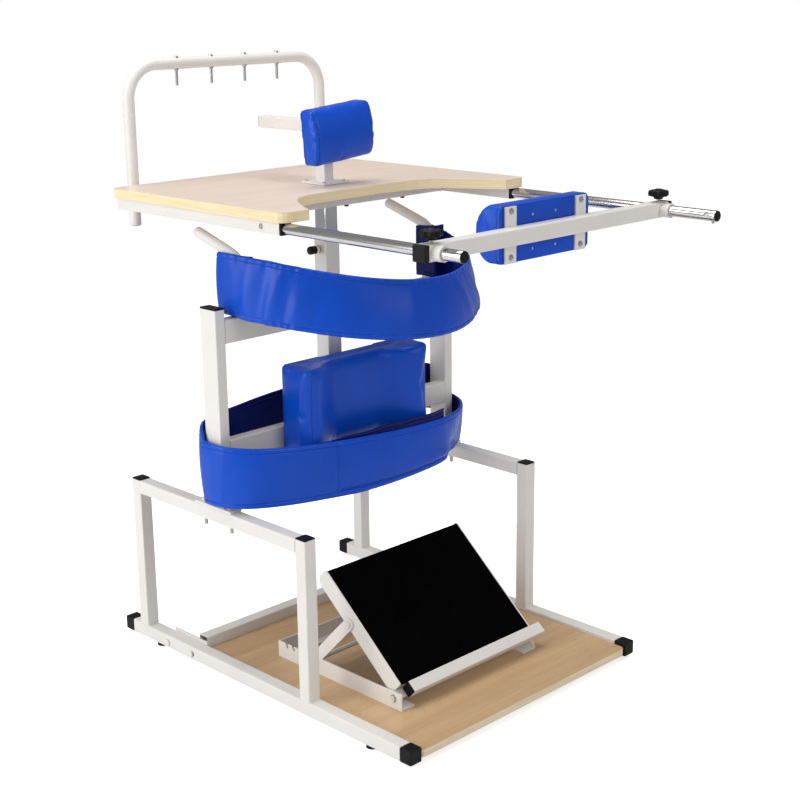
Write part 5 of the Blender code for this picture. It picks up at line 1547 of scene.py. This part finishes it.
@dataclass
class Studio:
    """A pale floor under plain soft light, seen from the photograph's place."""

    lens: float = 67.70
    place: tuple[float, float, float] = (-2.16316, -2.194085, 1.449671)
    yaw: float = 44.629
    pitch: float = -15.589
    roll: float = -0.699
    ambient: float = 0.38
    gloss: float = 0.26
    floor_tone: float = 0.84
    floor_half: float = 14.0

    @staticmethod
    def _pose(data: Any, place: Place, right: Array, up: Array, back: Array) -> Any:
        """Links an object of that data at a place, its own axes along right, up and back."""
        turn = np.eye(4)
        turn[:3] = np.column_stack([right, up, back, place])
        obj = bpy.data.objects.new(data.name, data)
        obj.matrix_world = Matrix(turn.tolist())
        bpy.context.scene.collection.objects.link(obj)
        return obj

    def camera(self) -> None:
        """Sets the camera: yaw from +y towards +x, then pitch, then roll about the view line."""
        yaw, pitch, roll = (math.radians(a) for a in (self.yaw, self.pitch, self.roll))
        ahead = np.array([math.cos(pitch) * math.sin(yaw), math.cos(pitch) * math.cos(yaw), math.sin(pitch)])
        level = np.array([math.cos(yaw), -math.sin(yaw), 0.0])
        above = np.cross(level, ahead)
        right = math.cos(roll) * level + math.sin(roll) * above
        up = -math.sin(roll) * level + math.cos(roll) * above
        data = bpy.data.cameras.new("camera")
        data.lens = self.lens
        data.sensor_width = 36.0
        data.clip_end = 60.0
        bpy.context.scene.camera = self._pose(data, self.place, right, up, -ahead)

    def world(self) -> None:
        """A white world: full strength for the camera, less for gloss and for what lights the object."""
        world = bpy.data.worlds.new("studio")
        bpy.context.scene.world = world
        g = Graph(world)
        rays = g.node("LightPath").outputs
        camera, through, glossy = (
            Channel(g, rays[f"Is {kind} Ray"]) for kind in ("Camera", "Transmission", "Glossy")
        )
        seen = camera.at_least(through) * (1.0 - self.ambient) + self.ambient
        strength = glossy * (self.gloss - self.ambient) + seen
        light = g.node("Background", {"Color": (1.0, 1.0, 1.0, 1.0), "Strength": strength})
        g.node("OutputWorld", {"Surface": light.outputs[0]})

    def floor(self) -> None:
        """A wide pale floor that keeps the object's shadow and goes to white where none falls."""
        made = bpy.data.materials.new("studio_floor")
        g = Graph(made)
        seen = Channel(g, g.node("LightPath").outputs["Is Camera Ray"])
        tone, white = (self.floor_tone,) * 3 + (1.0,), (1.0, 1.0, 1.0, 1.0)
        diffuse = g.node("BsdfDiffuse", {"Color": tone})
        strength = seen * (1.0 - self.floor_tone * self.ambient)
        glow = g.node("Emission", {"Color": white, "Strength": strength})
        both = g.node("AddShader", {0: diffuse.outputs[0], 1: glow.outputs[0]})
        g.node("OutputMaterial", {"Surface": both.outputs[0]})
        ends = (-self.floor_half, self.floor_half)
        mesh = bpy.data.meshes.new("studio_floor")
        mesh.from_pydata([(x, y, -0.0004) for x in ends for y in ends], [], [[0, 2, 3, 1]])
        mesh.materials.append(made)
        self._pose(mesh, (0.0, 0.0, 0.0), X_AXIS, Y_AXIS, Z_AXIS)

    def lamp(self, name: str, place: Place, aim: Place, size: float, power: float) -> None:
        """A square soft box at a place, turned to face a point."""
        data = bpy.data.lights.new(name, "AREA")
        data.shape = "SQUARE"
        data.size = size
        data.energy = power
        back = unit(np.asarray(place, float) - np.asarray(aim, float))
        across = unit(np.cross(Z_AXIS, back))
        self._pose(data, place, across, np.cross(back, across), back)

    def build(self) -> None:
        """Sets the whole studio."""
        bpy.context.scene.view_settings.view_transform = "Standard"
        self.camera()
        self.world()
        self.floor()
        self.lamp("soft_left", (-3.4, 0.9, 1.7), (0.0, 0.0, 0.7), 2.8, 80.0)
        self.lamp("soft_front", (0.6, -3.6, 2.3), (0.0, 0.0, 0.7), 1.8, 31.0)
        self.lamp("soft_top", (0.0, 0.4, 3.6), (0.0, 0.0, 0.6), 2.2, 60.0)
        LOG.info("studio set")


CHEST_PAD = Cushion(
    "chest_pad_cover",
    Body.CHEST_REST,
    "chest_pad",
    width=0.168,
    height=0.117,
    depth=0.047,
    centre=(0.003, 0.1973, 1.1415),
    facing=-1.0,
    corner=0.010,
    pull=0.003,
    upholstery=Upholstery(0.0035, 0.0040),
    crown=0.014,
    roll=5.0,
    ends=(-0.0765, 0.0765),
    board=0.0060,
)
BACK_PAD = Cushion(
    "back_pad_cover",
    Body.BACK_REST,
    "back_pad",
    width=0.260,
    height=0.110,
    depth=0.063,
    centre=(0.0, -0.3952, 0.9995),
    facing=1.0,
    corner=0.012,
    pull=0.0035,
    upholstery=Upholstery(0.0038, 0.0050),
    crown=0.029,
    ends=(-0.1210, -0.1140, 0.1170),
    board=0.0062,
)
KNEE_BLOCK = KneeBlock(
    "knee_block_cover",
    Body.BASE,
    "knee_block",
    width=0.364,
    height=0.194,
    depth=0.0855,
    centre=(0.0, 0.1718, 0.5755),
    facing=-1.0,
    corner=0.010,
    pull=0.002,
    upholstery=Upholstery(0.0048, 0.0045),
    ends=(-0.1690, 0.1690),
)


def main() -> None:
    """Builds the studio and every sub-assembly, and reports how many pieces they make."""
    logging.basicConfig(level=logging.INFO, format="%(message)s")
    Studio().build()
    assemblies = (
        BaseFrame(),
        Footboard(),
        Support(),
        Handle("left", -1.0),
        Handle("right", 1.0),
        Table(),
        Arch(),
        ChestRest(CHEST_PAD),
        SlideTube("left", Body.LEFT_TUBE, -SLIDE_X, -0.4925, 0.2075),
        SlideTube("right", Body.RIGHT_TUBE, SLIDE_X, -0.5555, 0.1445),
        ClampKnob("left", Body.LEFT_KNOB, -SLIDE_X),
        ClampKnob("right", Body.RIGHT_KNOB, SLIDE_X),
        BackRest(BACK_PAD),
        HipBelt(),
        KneeBelt(),
        KNEE_BLOCK,
    )
    made = [piece for assembly in assemblies for piece in assembly.build()]
    LOG.info("%d pieces made", len(made))


if __name__ == "__main__":
    main()
